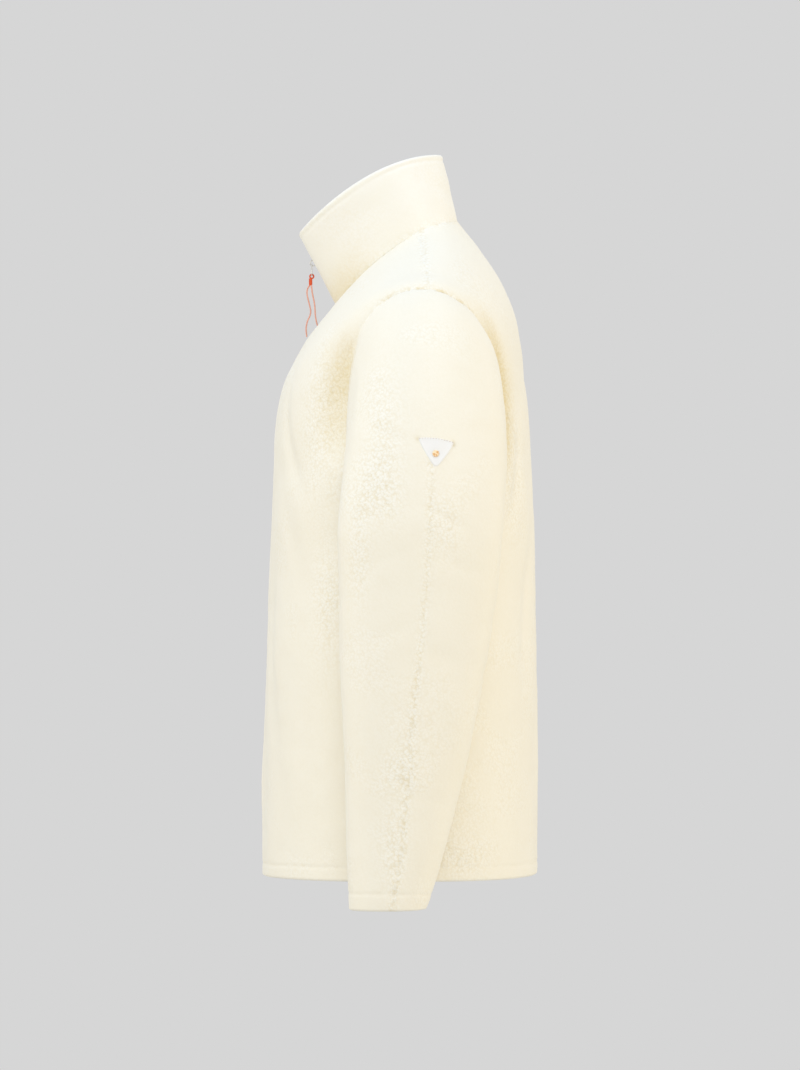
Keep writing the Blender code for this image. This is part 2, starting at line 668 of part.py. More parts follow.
def wire_curve(name, points, radius, closed=False):
    """A round wire or cord through the points, as a curve object with filled ends."""
    curve = bpy.data.curves.new(name, "CURVE")
    curve.dimensions = "3D"
    curve.bevel_depth = radius
    curve.bevel_resolution = 2
    curve.use_fill_caps = True
    line = curve.splines.new("POLY")
    line.points.add(len(points) - 1)
    line.points.foreach_set("co", np.column_stack([points, np.ones(len(points))]).ravel())
    line.use_cyclic_u = closed
    wire = bpy.data.objects.new(name, curve)
    jacket.objects.link(wire)
    return wire


def wire_mesh(name, points, radius, closed=False):
    """The same wire as a closed mesh."""
    wire = wire_curve(name + "_line", points, radius, closed)
    bpy.context.view_layer.update()
    mesh = bpy.data.meshes.new_from_object(wire.evaluated_get(bpy.context.evaluated_depsgraph_get()))
    curve = wire.data
    bpy.data.objects.remove(wire)
    bpy.data.curves.remove(curve)
    shape = bmesh.new()
    shape.from_mesh(mesh)
    bmesh.ops.remove_doubles(shape, verts=shape.verts, dist=1e-6)
    shape.to_mesh(mesh)
    shape.free()
    mesh.materials.clear()
    return mesh


def add_joined(name, meshes, material):
    """One solid from several overlapping meshes."""
    whole = add_object(name, meshes[0], material)
    for number, mesh in enumerate(meshes[1:]):
        other = bpy.data.objects.new(f"{name}_joined_{number}", mesh)
        joined_shapes.objects.link(other)
        other.hide_render = True
        other.display_type = "WIRE"
        union = whole.modifiers.new(f"union_{number}", "BOOLEAN")
        union.operation = "UNION"
        union.object = other
    return whole


def add_slider():
    """The slider: a plate before and one behind the teeth, the neck that parts them, and the bail."""
    frame = zip_frame(COLLAR_RINGS, SLIDER_PLACE, 0.05)
    teeth_front = -COLLAR_CLOTH + TEETH_DEPTH
    tape_back = -COLLAR_CLOTH - SEAM_GAP - TAPE_THICK
    front_plate = teeth_front + SEAM_GAP + SLIDER_PLATE / 2
    back_plate = tape_back - SEAM_GAP - SLIDER_PLATE / 2
    size = (SLIDER_WIDTH, SLIDER_HEIGHT, SLIDER_PLATE)
    neck_size = (*SLIDER_NECK, front_plate - back_plate)
    neck_centre = (0, SLIDER_NECK_RISE, (front_plate + back_plate) / 2)
    turn = np.linspace(0, math.pi, 13)
    bail_out = front_plate + BAIL_STAND * np.sin(turn)
    bail = np.stack([0 * turn, BAIL_HALF_HEIGHT * np.cos(turn), bail_out], axis=1)
    meshes = [
        block(size, (0, 0, front_plate), SLIDER_BEVEL),
        block(size, (0, 0, back_plate), SLIDER_BEVEL),
        block(neck_size, neck_centre, NECK_BEVEL),
        wire_mesh("zip_bail", bail, BAIL_WIRE),
    ]
    add_joined("zip_slider", [in_frame(mesh, frame) for mesh in meshes], "zip_metal")


def add_box():
    """The box at the foot of the zip, between the cloth's edges."""
    frame = zip_frame(TORSO_RINGS, HEM, -0.05)
    thick = FLEECE - BOX_BELOW_PILE
    centre = (0, BOX_HEIGHT / 2 + BOX_ABOVE_HEM, -FLEECE + thick / 2)
    mesh = in_frame(block((BOX_WIDTH, BOX_HEIGHT, thick), centre, BOX_BEVEL), frame)
    add_object("zip_box", mesh, "zip_metal")


def add_pull():
    """The wire pull that swings in the bail, and the cord looped through it with its two free ends."""
    turn = np.linspace(0, 2 * math.pi, 24, endpoint=False)
    half = PULLER_LENGTH / 2
    x = PULLER_HALF_WIDTH * power(np.cos(turn), PULLER_SQUARE[0])
    z = PIVOT_Z - half + half * power(np.sin(turn), PULLER_SQUARE[1])
    puller = np.stack([x, np.full_like(x, PIVOT_Y), z], axis=1)
    add_object("zip_puller", wire_mesh("zip_puller", puller, PULLER_WIRE, closed=True), "zip_metal")

    loop_top = PIVOT_Z - PULLER_LENGTH + PULLER_WIRE + SEAM_GAP + CORD_RADIUS
    loop_z = loop_top - CORD_LOOP_RADIUS
    turn = np.linspace(0, 2 * math.pi, 16, endpoint=False)
    loop_y = PIVOT_Y + CORD_LOOP_RADIUS * np.cos(turn)
    loop = np.stack([0 * turn, loop_y, loop_z + CORD_LOOP_RADIUS * np.sin(turn)], axis=1)
    sheath_centre = (0, PIVOT_Y - SHEATH_FORWARD, loop_z - CORD_LOOP_RADIUS - CORD_SHEATH[2] / 2)
    meshes = [
        wire_mesh("cord_loop", loop, CORD_RADIUS, closed=True),
        block(CORD_SHEATH, sheath_centre, SHEATH_BEVEL),
    ]
    add_joined("cord_loop", meshes, "coral_cord")

    for name, route in CORD_ROUTES.items():
        tail = wire_curve(name, smooth_route(np.array(route) * MM), CORD_RADIUS)
        tail.data.materials.append(finish("coral_cord"))


def smooth_route(points):
    """A route's points on a smooth curve through them, one for every two cord widths."""
    table = dict(enumerate(points.tolist()))
    length = np.linalg.norm(np.diff(points, axis=0), axis=1).sum()
    place = np.linspace(0, len(points) - 1, round(length / (4 * CORD_RADIUS)))
    curve = through(table, "xyz", place)
    return np.stack([curve["x"], curve["y"], curve["z"]], axis=1)


for old in list(bpy.data.objects):
    bpy.data.objects.remove(old)
jacket = bpy.data.collections.new("fleece_jacket")
joined_shapes = bpy.data.collections.new("joined_shapes")
bpy.context.scene.collection.children.link(jacket)
bpy.context.scene.collection.children.link(joined_shapes)

add_torso()
add_collar()
add_sleeves()
add_badge()
add_zip()
add_slider()
add_box()
add_pull()
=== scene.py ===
# %% [markdown]
# # A cream fleece jacket, filled out as if worn
#
# The jacket is cut from one thick, curly fleece: two fronts, a back, two halves to each sleeve and a
# stand collar of two layers. A long zip closes it, with a wire pull and a coral cord, and a small
# badge sits on the left sleeve. This lesson builds each sewn piece of cloth as its own surface, over the
# form of the CAD model, and then adds the pile, the seams and the metalwork.

import math

import bmesh
import bpy
import numpy as np
from mathutils import Matrix


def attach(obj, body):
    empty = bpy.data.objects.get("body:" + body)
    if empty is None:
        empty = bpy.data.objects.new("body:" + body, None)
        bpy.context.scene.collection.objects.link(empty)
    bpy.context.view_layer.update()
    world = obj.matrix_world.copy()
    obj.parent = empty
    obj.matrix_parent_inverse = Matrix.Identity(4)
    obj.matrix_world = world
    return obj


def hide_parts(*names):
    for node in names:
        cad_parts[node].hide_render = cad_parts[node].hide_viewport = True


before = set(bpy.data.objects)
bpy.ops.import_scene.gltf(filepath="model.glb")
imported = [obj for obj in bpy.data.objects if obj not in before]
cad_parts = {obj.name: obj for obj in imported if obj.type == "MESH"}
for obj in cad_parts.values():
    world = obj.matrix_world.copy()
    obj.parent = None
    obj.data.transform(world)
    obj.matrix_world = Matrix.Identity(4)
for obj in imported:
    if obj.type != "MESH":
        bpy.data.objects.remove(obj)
bpy.context.view_layer.update()
MM = 0.001
MIRROR = np.array([-1.0, 1.0, 1.0])
SIDES = ("left", "right")

# %% [markdown]
# ## Sizes of the jacket
#
# The tables are the jacket's cut as it hangs: each ring runs round the body through a front, a side and
# a back point, as a tailor would measure it over a stand. A pattern has no such rings, but they let one
# smooth surface carry all the panels, so that neighbours meet along their seams.

# %% The jacket's rings
FLEECE = 5.0 * MM
COLLAR_CLOTH = 6.0 * MM
ZIP_CHANNEL = 4.5 * MM
TAPE_EDGE = 17.0 * MM
RING_COLUMNS = ("x_side", "y_front", "y_side", "y_back", "z_front", "z_side", "z_back", "square")
TORSO_RINGS = {
    "neck": (0.0720, -0.0835, 0.000, 0.0375, -0.072, 0.000, 0.012, 2.0),
    "yoke_high": (0.1020, -0.0975, 0.002, 0.0585, -0.088, -0.012, -0.016, 2.1),
    "yoke_middle": (0.1350, -0.1125, 0.004, 0.0790, -0.107, -0.027, -0.047, 2.2),
    "yoke_low": (0.1685, -0.1255, 0.006, 0.0932, -0.130, -0.044, -0.080, 2.3),
    "shoulder_end": (0.1980, -0.1360, 0.007, 0.0998, -0.153, -0.062, -0.112, 2.4),
    "arm_high": (0.2060, -0.1420, 0.005, 0.1042, -0.180, -0.104, -0.147, 2.45),
    "arm_middle": (0.2085, -0.1447, 0.002, 0.1080, -0.207, -0.151, -0.180, 2.5),
    "arm_low": (0.2080, -0.1452, -0.001, 0.1100, -0.233, -0.199, -0.213, 2.5),
    "underarm": (0.2065, -0.1462, -0.004, 0.1120, -0.262, -0.244, -0.250, 2.5),
    "chest": (0.2050, -0.1497, -0.010, 0.1148, -0.320, -0.310, -0.313, 2.5),
    "waist": (0.2050, -0.1530, -0.015, 0.1164, -0.405, -0.400, -0.402, 2.5),
    "hip": (0.2060, -0.1552, -0.020, 0.1166, -0.520, -0.518, -0.520, 2.5),
    "hem": (0.2070, -0.1570, -0.020, 0.1160, -0.640, -0.640, -0.640, 2.5),
}
SHOULDER_END, UNDERARM, HEM = 4, 8, 12
COLLAR_RINGS = {
    "neck": (0.0720, -0.0835, 0.000, 0.0375, -0.072, 0.000, 0.012, 2.0),
    "middle": (0.0705, -0.1025, -0.020, 0.0302, -0.037, 0.0312, 0.0455, 2.0),
    "edge": (0.0680, -0.1225, -0.040, 0.0220, -0.001, 0.0610, 0.0782, 2.0),
}
COLLAR_TOP = 2
SLIDER_PLACE = 1.2
SLEEVE_COLUMNS = ("x_inner", "x_outer", "y_front", "y_seam", "y_back", "z")
SLEEVE_RINGS = {
    "upper_arm": (0.2140, 0.3080, -0.0796, 0.0079, 0.0780, -0.310),
    "above_elbow": (0.2155, 0.3085, -0.0790, 0.0043, 0.0742, -0.360),
    "elbow": (0.2175, 0.3085, -0.0781, -0.0005, 0.0670, -0.410),
    "forearm": (0.2200, 0.3065, -0.0760, -0.0084, 0.0534, -0.482),
    "low_forearm": (0.2225, 0.3040, -0.0739, -0.0127, 0.0400, -0.541),
    "wrist": (0.2250, 0.3005, -0.0715, -0.0178, 0.0251, -0.600),
    "cuff_seam": (0.2267, 0.2978, -0.0692, -0.0256, 0.0114, -0.6486),
    "cuff": (0.2275, 0.2965, -0.0684, -0.0279, 0.0057, -0.665),
}
SLEEVE_SQUARE = 2.15
CUFF = len(SLEEVE_RINGS)
ARMHOLE_FRONT, ARMHOLE_BACK, ARMHOLE_SQUARE = 27.5 / 90, 44 / 90, 2.5
SLEEVE_FULLNESS = 0.80
LEAN_MEAN, LEAN_ONCE, LEAN_TWICE = 49.75, -22.5, 7.75
ROUNDED = 0.5  # how much of a ring is mixed from its neighbours, halfway between centre and side
TROUGH_DEPTH = (6.0 * MM, 5.0 * MM)  # beside the armhole, in front and behind
TROUGH_FROM_SEAM, TROUGH_WIDTH = 0.05, 0.13  # as shares of a quarter ring
FLUTE_DEPTH, FLUTE_START = 2.4 * MM, 3.5  # the flutes grow over so many rings below the underarm
# Each flute's share, its waves to a quarter ring, its lean to a ring, and its phases in front and behind
FLUTES = ((0.6, 7.5, 0.0, (0.2, 1.4)), (0.4, 12.0, 0.45, (1.0, 2.6)))
SLACK_DEPTH, SLACK_PLACE, SLACK_REACH = 1.6 * MM, 8.6, 2.6
SLACK_WAVES = (2.3, 3.2)  # to a ring, and to a quarter ring round
FLAT_CENTRE = (0.06, 0.25)  # the folds fade in from here on, over this share of a quarter ring
NECK_TURN, ARMHOLE_TURN = 0.08, 0.06  # the parts of a ring over which the cloth turns to a seam's way
OPEN_PLACES = (1.1, 1.3, 1.65, 2.0)
OPEN_SPREAD = (0.0, 1.5 * MM, 3.0 * MM, 4.0 * MM)
print(len(TORSO_RINGS), "torso rings,", len(COLLAR_RINGS), "collar rings,", len(SLEEVE_RINGS), "sleeve rings")

# %% Smooth curves through a table


def cubic(u, start, leave, end, arrive):
    """The cubic from start to end whose slopes there are leave and arrive, for u from 0 to 1."""
    return (
        (2 * u**3 - 3 * u**2 + 1) * start
        + (u**3 - 2 * u**2 + u) * leave
        + (3 * u**2 - 2 * u**3) * end
        + (u**3 - u**2) * arrive
    )


def through(table, columns, place):
    """The table's columns at fractional row numbers: cubic pieces that share their slope at each row."""
    rows = np.array(list(table.values()))
    slope = np.gradient(rows, axis=0)
    place = np.clip(np.asarray(place, float), 0, len(rows) - 1)
    low = np.minimum(place.astype(int), len(rows) - 2)
    curve = cubic((place - low)[..., None], rows[low], slope[low], rows[low + 1], slope[low + 1])
    return {name: curve[..., k] for k, name in enumerate(columns)}


def power(value, exponent):
    """The size of value to a power, with value's own sign."""
    return np.sign(value) * np.abs(value) ** exponent


def smooth(value):
    """A soft step: 0 below 0, 1 above 1, and three squares less two cubes between."""
    value = np.clip(value, 0, 1)
    return value * value * (3 - 2 * value)


def bell(distance, reach):
    """A bell curve: 1 at distance 0, and 1 over e at its reach."""
    return np.exp(-((distance / reach) ** 2))


def unit(vectors):
    """Each vector over its own length."""
    return vectors / np.maximum(np.linalg.norm(vectors, axis=-1, keepdims=True), 1e-12)


def turned(own, other, share):
    """Directions turned from own towards other by a share of the way."""
    share = share[..., None]
    return unit(own * (1 - share) + other * share)


def normals(surface, first, second, step=0.01):
    """Unit normals: the surface's slope along first crossed into its slope along second."""
    along_first = surface(first + step, second) - surface(first - step, second)
    along_second = surface(first, second + step) - surface(first, second - step)
    return unit(np.cross(along_first, along_second))


def lengths(grid, axis):
    """How far along a grid's lines each point is: the steps between neighbours, added up."""
    steps = np.linalg.norm(np.diff(grid, axis=axis), axis=-1)
    start = np.zeros_like(np.take(steps, [0], axis=axis))
    return np.concatenate([start, np.cumsum(steps, axis=axis)], axis=axis)


def read_off(points, places):
    """Points at the given lengths along a line, straight between the line's own points."""
    along = lengths(points, 0)
    return np.stack([np.interp(places, along, points[:, k]) for k in range(3)], axis=1)


def frame_of(x, y, z, place):
    """The matrix of three directions and a place."""
    matrix = np.eye(4)
    matrix[:3] = np.stack([x, y, z, place], axis=1)
    return Matrix(matrix.tolist())


def by_length(curve, first, last, shares):
    """Places on a curve at the given shares of its length, read off its length at 400 places."""
    place = np.linspace(first, last, 400)
    along = lengths(curve(place), 0)
    return np.interp(shares * along[-1], along, place)


def turns(count):
    """So many angles, evenly once round."""
    return np.linspace(0, 2 * math.pi, count, endpoint=False)


def oval(count, half_x, half_y, bend_x, bend_y):
    """Points once round an oval: a cosine and a sine, to powers that square its corners."""
    x, y = power(np.cos(turns(count)), bend_x), power(np.sin(turns(count)), bend_y)
    return np.stack([half_x * x, half_y * y], axis=1)


# %% The torso and the collar


def open_spread(place):
    """How far the open zip has moved the collar's front edge aside, straight between four places."""
    return np.interp(place, OPEN_PLACES, OPEN_SPREAD)


def ring_point(table, place, around, channel):
    """A ring's point: squared sine and cosine in plan, and a parabola in height from front to back.

    around is 0 at the centre front, 1 at the left side and 2 at the centre back.
    """
    row = through(table, RING_COLUMNS, place)
    front = np.asarray(around) <= 1
    angle = np.where(front, around, 2 - np.asarray(around)) * math.pi / 2
    centre = np.where(front, row["y_front"], row["y_back"])
    gap = np.where(front, channel, 0.0)
    bend = 2 / row["square"]
    x = gap + (row["x_side"] - gap) * power(np.sin(angle), bend)
    y = row["y_side"] + (centre - row["y_side"]) * power(np.cos(angle), bend)
    depth = row["y_back"] - row["y_front"]
    share = (y - row["y_front"]) / depth
    side = (row["y_side"] - row["y_front"]) / depth
    side_line = row["z_front"] + (row["z_back"] - row["z_front"]) * side
    rise = (row["z_side"] - side_line) / (4 * side * (1 - side))
    z = row["z_front"] + (row["z_back"] - row["z_front"]) * share + 4 * rise * share * (1 - share)
    return np.stack([x, y, z], axis=-1)


def around_at(table, place, x, channel):
    """Where on a ring's front half the given x lies: the plan curve's formula, solved for the angle."""
    row = through(table, RING_COLUMNS, place)
    share = (x - channel) / (row["x_side"] - channel)
    return np.arcsin(power(share, row["square"] / 2)) / (math.pi / 2)


def plain_torso(place, around):
    """The rings, each mixed with its neighbours where chest and shoulder blades are round."""
    place, around = np.broadcast_arrays(np.asarray(place, float), np.asarray(around, float))
    upper_body = smooth(place) * smooth((UNDERARM + 2 - place) / 2)
    soft = (ROUNDED * np.sin(math.pi * around) ** 2 * upper_body)[..., None]
    above, here, below = (ring_point(TORSO_RINGS, place + k, around, ZIP_CHANNEL) for k in (-1, 0, 1))
    return here * (1 - soft) + (above + below) * soft / 2


def armhole_opening(place):
    """The armhole's width at a ring as a share of its full width: a squared-off oval's height."""
    along = np.clip((place - SHOULDER_END) / (UNDERARM - SHOULDER_END), 0, 1)
    inside = np.maximum(1 - np.abs(2 * along - 1) ** ARMHOLE_SQUARE, 0)
    return inside ** (1 / ARMHOLE_SQUARE)


def drape(place, around):
    """The large folds: bell-shaped troughs beside the armholes, and sine flutes down to the hem."""
    front = np.asarray(around) <= 1
    from_centre = np.where(front, around, 2 - np.asarray(around))
    opening = armhole_opening(place)
    edge = 1 - np.where(front, ARMHOLE_FRONT, ARMHOLE_BACK) * opening
    along = np.clip((place - SHOULDER_END) / (UNDERARM - SHOULDER_END), 0, 1)
    trough = bell(edge - TROUGH_FROM_SEAM - from_centre, TROUGH_WIDTH) * np.sin(math.pi * along) ** 2
    below = smooth((place - UNDERARM) / FLUTE_START)
    flutes = sum(
        share * np.sin(waves * from_centre + lean * place + np.where(front, *phases))
        for share, waves, lean, phases in FLUTES
    )
    slack = np.sin(SLACK_WAVES[0] * (place - UNDERARM) + SLACK_WAVES[1] * from_centre)
    slack = slack * smooth(1 - np.abs(place - SLACK_PLACE) / SLACK_REACH)
    at_centre = smooth((from_centre - FLAT_CENTRE[0]) / FLAT_CENTRE[1])
    hanging = FLUTE_DEPTH * below * flutes + SLACK_DEPTH * slack
    return at_centre * hanging - np.where(front, *TROUGH_DEPTH) * trough


def torso_normal(place, around):
    """The torso's outward normal."""
    return normals(plain_torso, place, around)


def torso(place, around):
    """The torso's outer face: the plain rings moved along their normals by the large folds."""
    return plain_torso(place, around) + torso_normal(place, around) * drape(place, around)[..., None]


def collar(place, around):
    """The collar's outer face, whose front edges spread where the zip is open."""
    return ring_point(COLLAR_RINGS, place, around, ZIP_CHANNEL + open_spread(place))


def collar_normal(place, around):
    """The collar's outward normal."""
    return -normals(collar, place, around)


def turned_at_neck(out, place, around):
    """Outward ways that turn, close to the neck seam, to halfway between the torso's and the collar's."""
    start = np.zeros_like(around)
    seam = unit(torso_normal(start, around) + collar_normal(start, around))
    return turned(out, seam, smooth(1 - place / NECK_TURN))


# %% The sleeves


def armhole_turn(turn):
    """Ring and place around of the armhole's oval. turn is 0 at the shoulder and 0.25 at the back."""
    angle = 2 * math.pi * np.asarray(turn)
    along = (1 - power(np.cos(angle), 2 / ARMHOLE_SQUARE)) / 2
    place = SHOULDER_END + along * (UNDERARM - SHOULDER_END)
    wide = power(np.sin(angle), 2 / ARMHOLE_SQUARE)
    around = 1 + np.where(wide > 0, ARMHOLE_BACK, ARMHOLE_FRONT) * wide
    return place, around


def armhole(turn):
    """A point of the armhole's seam."""
    return torso(*armhole_turn(turn))


def into_armhole(turn):
    """The way into the armhole's opening: along its seam, crossed into the torso's normal."""
    along = unit(armhole(turn + 0.004) - armhole(turn - 0.004))
    return unit(np.cross(along, torso_normal(*armhole_turn(turn))))


def sleeve_ring(place, turn):
    """A level ring of the sleeve: a squared oval of its own reach to the front and to the back."""
    row = through(SLEEVE_RINGS, SLEEVE_COLUMNS, place)
    angle = 2 * math.pi * turn
    bend = 2 / SLEEVE_SQUARE
    half = (row["x_outer"] - row["x_inner"]) / 2
    x = row["x_inner"] + half * (1 + power(np.cos(angle), bend))
    reach = np.where(np.sin(angle) > 0, row["y_back"] - row["y_seam"], row["y_seam"] - row["y_front"])
    y = row["y_seam"] + reach * power(np.sin(angle), bend)
    return np.stack(np.broadcast_arrays(x, y, row["z"]), axis=-1)


def sleeve(place, turn):
    """The sleeve: a cubic curve from the armhole to the upper arm, which leaves at the cap's lean."""
    place, turn = np.broadcast_arrays(np.asarray(place, float), np.asarray(turn, float))
    angle = 2 * math.pi * turn
    lean = np.radians(LEAN_MEAN + LEAN_ONCE * np.cos(angle) + LEAN_TWICE * np.cos(2 * angle))[..., None]
    start = armhole(turn)
    leave = into_armhole(turn) * np.cos(lean) + torso_normal(*armhole_turn(turn)) * np.sin(lean)
    first_ring = np.zeros_like(turn)
    end = sleeve_ring(first_ring, turn)
    arrive = unit(sleeve_ring(first_ring + 0.05, turn) - end)
    reach = np.linalg.norm(end - start, axis=-1, keepdims=True) * SLEEVE_FULLNESS
    cap = cubic(np.clip(place, 0, 1)[..., None], start, leave * reach, end, arrive * reach)
    return np.where((place <= 1)[..., None], cap, sleeve_ring(np.maximum(place - 1, 0), turn))


def sleeve_direction(place, turn):
    """The way out through the sleeve's cloth, which turns into the torso's at the armhole's seam."""
    place, turn = np.broadcast_arrays(np.asarray(place, float), np.asarray(turn, float))
    own = normals(sleeve, np.clip(place, 0.02, CUFF - 0.02), turn)
    return turned(own, torso_normal(*armhole_turn(turn)), smooth(1 - place / ARMHOLE_TURN))


print("Shoulder point:", np.round(torso(4.0, 1.0), 4), "cuff's outer point:", np.round(sleeve(CUFF, 0.0), 4))

# %% [markdown]
# ## Noise for the pile
#
# The pile of this fleece is tumbled into curls a few millimetres across. It is made by brushing and
# shearing, so no two curls match. Numbers scattered by the cell of a grid give such a pattern, the same
# on every run. Value noise gives soft unevenness, and the distance to scattered points gives tufts.

# %% Scattered numbers


def hashed(cells, seed):
    """A number from 0 to 1 for each whole-numbered cell: products with large primes, folded by xor."""
    mixed = cells[..., 0] * 73856093 ^ cells[..., 1] * 19349663 ^ cells[..., 2] * 83492791
    mixed = (mixed ^ (seed * 2654435761)) & 0xFFFFFFFF
    mixed = ((mixed ^ (mixed >> 15)) * 2246822519) & 0xFFFFFFFF
    mixed = ((mixed ^ (mixed >> 13)) * 3266489917) & 0xFFFFFFFF
    return ((mixed ^ (mixed >> 16)) & 0xFFFFFF) / float(0xFFFFFF)


def soft_noise(points, size, seed):
    """Value noise from -1 to 1: the eight corners of each cell, mixed by soft steps."""
    scaled = points / size
    low = np.floor(scaled).astype(np.int64)
    step = smooth(scaled - low)
    total = np.zeros(points.shape[:-1])
    for corner in np.ndindex(2, 2, 2):
        corner = np.array(corner)
        weight = np.prod(np.where(corner == 1, step, 1 - step), axis=-1)
        total += weight * hashed(low + corner, seed)
    return 2 * total - 1


def tufts(points, size, seed):
    """Tufts from 0 between them to 1 on top: 1 less the squared distance to the nearest of points
    scattered one to a cell."""
    scaled = points / size
    low = np.floor(scaled).astype(np.int64)
    nearest = np.full(points.shape[:-1], 9.0)
    for shift in np.ndindex(3, 3, 3):
        cell = low + np.array(shift) - 1
        spot = cell + np.stack([hashed(cell, seed + k) for k in range(3)], axis=-1)
        nearest = np.minimum(nearest, ((scaled - spot) ** 2).sum(axis=-1))
    return np.clip(1 - nearest, 0, 1)


sample = np.random.default_rng(1).uniform(-0.1, 0.1, (2000, 3))
sample = soft_noise(sample, 9 * MM, 1)
print("Soft noise spans", round(float(sample.min()), 2), "to", round(float(sample.max()), 2))

# %% [markdown]
# ## Seams, hems and creases
#
# A seam in thick pile sinks into a gully: the thread pulls the backing down and the curls close over it,
# more in some places than in others. A hem is turned in and stitched a finger's width from its edge. The
# shapes below depend only on the distance to a line and on the way along it, so both panels of a seam
# agree on it. The creases are set one by one, where a filled-out sleeve and body crease.

# %% Distances to the seams
LINE_STEP = 1.5 * MM


def line_points(points):
    """A line's points at even steps of its length."""
    return read_off(points, np.arange(0, lengths(points, 0)[-1], LINE_STEP))


def to_line(points, line, reach=60 * MM):
    """Distance to a line's nearest point and how far along the line it is, from squared distances
    expanded into one matrix product. Points out of the line's reach are left at that distance."""
    flat = points.reshape(-1, 3)
    distance, along = np.full(len(flat), reach), np.zeros(len(flat))
    low, high = line.min(axis=0) - reach, line.max(axis=0) + reach
    near = np.flatnonzero(((flat > low) & (flat < high)).all(axis=1))
    line_square = (line**2).sum(axis=1)
    for start in range(0, len(near), 8000):
        chosen = near[start : start + 8000]
        part = flat[chosen]
        square = (part**2).sum(axis=1)[:, None] - 2 * part @ line.T + line_square
        nearest = square.argmin(axis=1)
        closest = np.sqrt(np.maximum(square[np.arange(len(part)), nearest], 0))
        distance[chosen] = np.minimum(closest, reach)
        along[chosen] = nearest * LINE_STEP
    return distance.reshape(points.shape[:-1]), along.reshape(points.shape[:-1])


def waver(along, size, seed):
    """Value noise along a line, from -1 to 1."""
    return soft_noise(np.stack([along, 0 * along, 0 * along], axis=-1), size, seed)


COVERED = 0.12  # what the pile leaves of a seam that it covers
CLOSING = 0.25  # how much the curls close over a gully in places


def gully(distance, along, depth, width, seed, pucker, shown):
    """How far a seam draws the pile down: a bell curve across it, whose depth wavers along it, on a
    wider one. Where the pile covers it, shown is near 0 and little of it is left."""
    uneven = 1 + pucker * waver(along, 9 * MM, seed) + 0.6 * pucker * waver(along, 23 * MM, seed + 1)
    closed = 1 - CLOSING + CLOSING * waver(along, 5 * MM, seed + 2)
    across = 0.78 * bell(distance, width) * closed + 0.30 * bell(distance, 3.2 * width)
    return depth * across * uneven * (COVERED + (1 - COVERED) * shown)


def stitched(distance, along, seam_at, depth, seed):
    """The furrow of a stitched turning: a bell curve over its stitch line, with small gathers that
    fade a finger's width to either side."""
    off = distance - seam_at - 0.6 * MM * waver(along, 30 * MM, seed)
    furrow = bell(off, 1.9 * MM) * (1 + 0.35 * waver(along, 6 * MM, seed + 1))
    gathers = bell(off, 9 * MM) * waver(along, 11 * MM, seed + 2)
    return depth * (furrow + 0.35 * gathers)


def rolled(distance, radius):
    """How far an edge turns down: the sagitta of a quarter circle of that radius."""
    inside = np.clip(radius - distance, 0, radius)
    return radius - np.sqrt(np.maximum(radius**2 - inside**2, 0))


CREASE_REACH = 45  # millimetres to either side of a crease's plane, so that it stays on its own face


def creases(points, table):
    """Listed creases: each a bell-shaped trough or ridge of its own centre, run, width and depth.

    A row holds the centre, the direction it runs in, which is square to one axis, then its half
    length, half width, bend and depth, in millimetres.
    """
    total = np.zeros(points.shape[:-1])
    for centre, run, length, width, bend, depth in table:
        run = unit(np.array(run, float))
        through_cloth = (run == 0).astype(float)
        offset = points / MM - np.array(centre, float)
        along = offset @ run / length
        beside = (offset @ np.cross(through_cloth, run) - bend * along**2) / width
        level = offset @ through_cloth / CREASE_REACH
        total += depth * MM * np.exp(-(along**2) - beside**2 - level**4)
    return total


# %% Pile on a surface
FLAT_PILE, CURLED_PILE = 0.18 * MM, 0.99 * MM  # its height where brushed flat, and what full curls add
SMALL_TUFTS, LARGE_TUFTS = 5.2 * MM, 11 * MM


def pile(points, curl, seed=5):
    """The curly pile's height: small and larger tufts, much higher where it is tumbled most."""
    moved = points + 1.2 * MM * soft_noise(points, 7 * MM, seed)[..., None]
    small, large = tufts(moved, SMALL_TUFTS, seed + 3), tufts(points, LARGE_TUFTS, seed + 11)
    return (FLAT_PILE + CURLED_PILE * curl) * (0.62 * small + 0.38 * large - 0.72)


# How much the patches of noise, the listed spots and the seams each curl the pile
PATCH_CURL, SPOT_CURL, SEAM_CURL = 0.30, 0.8, 0.7


def curliness(points, near_seam, fold):
    """Where the pile is tumbled into open curls, from 0 to 1: in patches of noise, by listed spots, and
    along seams and folds."""
    patch = smooth((soft_noise(points, 52 * MM, 71) + 0.45 * soft_noise(points, 21 * MM, 72) - 0.05) / 0.5)
    spots = np.zeros(points.shape[:-1])
    for centre, radius in CURLY_SPOTS:
        offset = (points / MM - np.array(centre, float)) / np.array(radius, float)
        spots += np.exp(-((offset**2).sum(axis=-1)))
    return np.clip(PATCH_CURL * patch + SPOT_CURL * spots + SEAM_CURL * near_seam + fold, 0, 1)


# Centre and reach in x, y and z of the patches where the pile is most tumbled, in millimetres
CURLY_SPOTS = (
    ((290, -38, -180), (40, 17, 52)),
    ((295, -38, -252), (40, 19, 34)),
    ((288, -60, -318), (60, 10, 50)),
    ((292, 24, -296), (40, 14, 26)),
    ((290, -20, -528), (40, 17, 22)),
    ((290, -27, -600), (40, 12, 38)),
    ((195, -92, -365), (30, 15, 60)),
    ((205, 42, -618), (40, 30, 20)),
    ((180, -105, -190), (40, 22, 70)),
    ((150, 110, -230), (50, 26, 70)),
    ((-290, 30, -210), (40, 20, 60)),
    ((-292, -34, -420), (40, 20, 70)),
    ((-170, -115, -220), (45, 26, 70)),
)


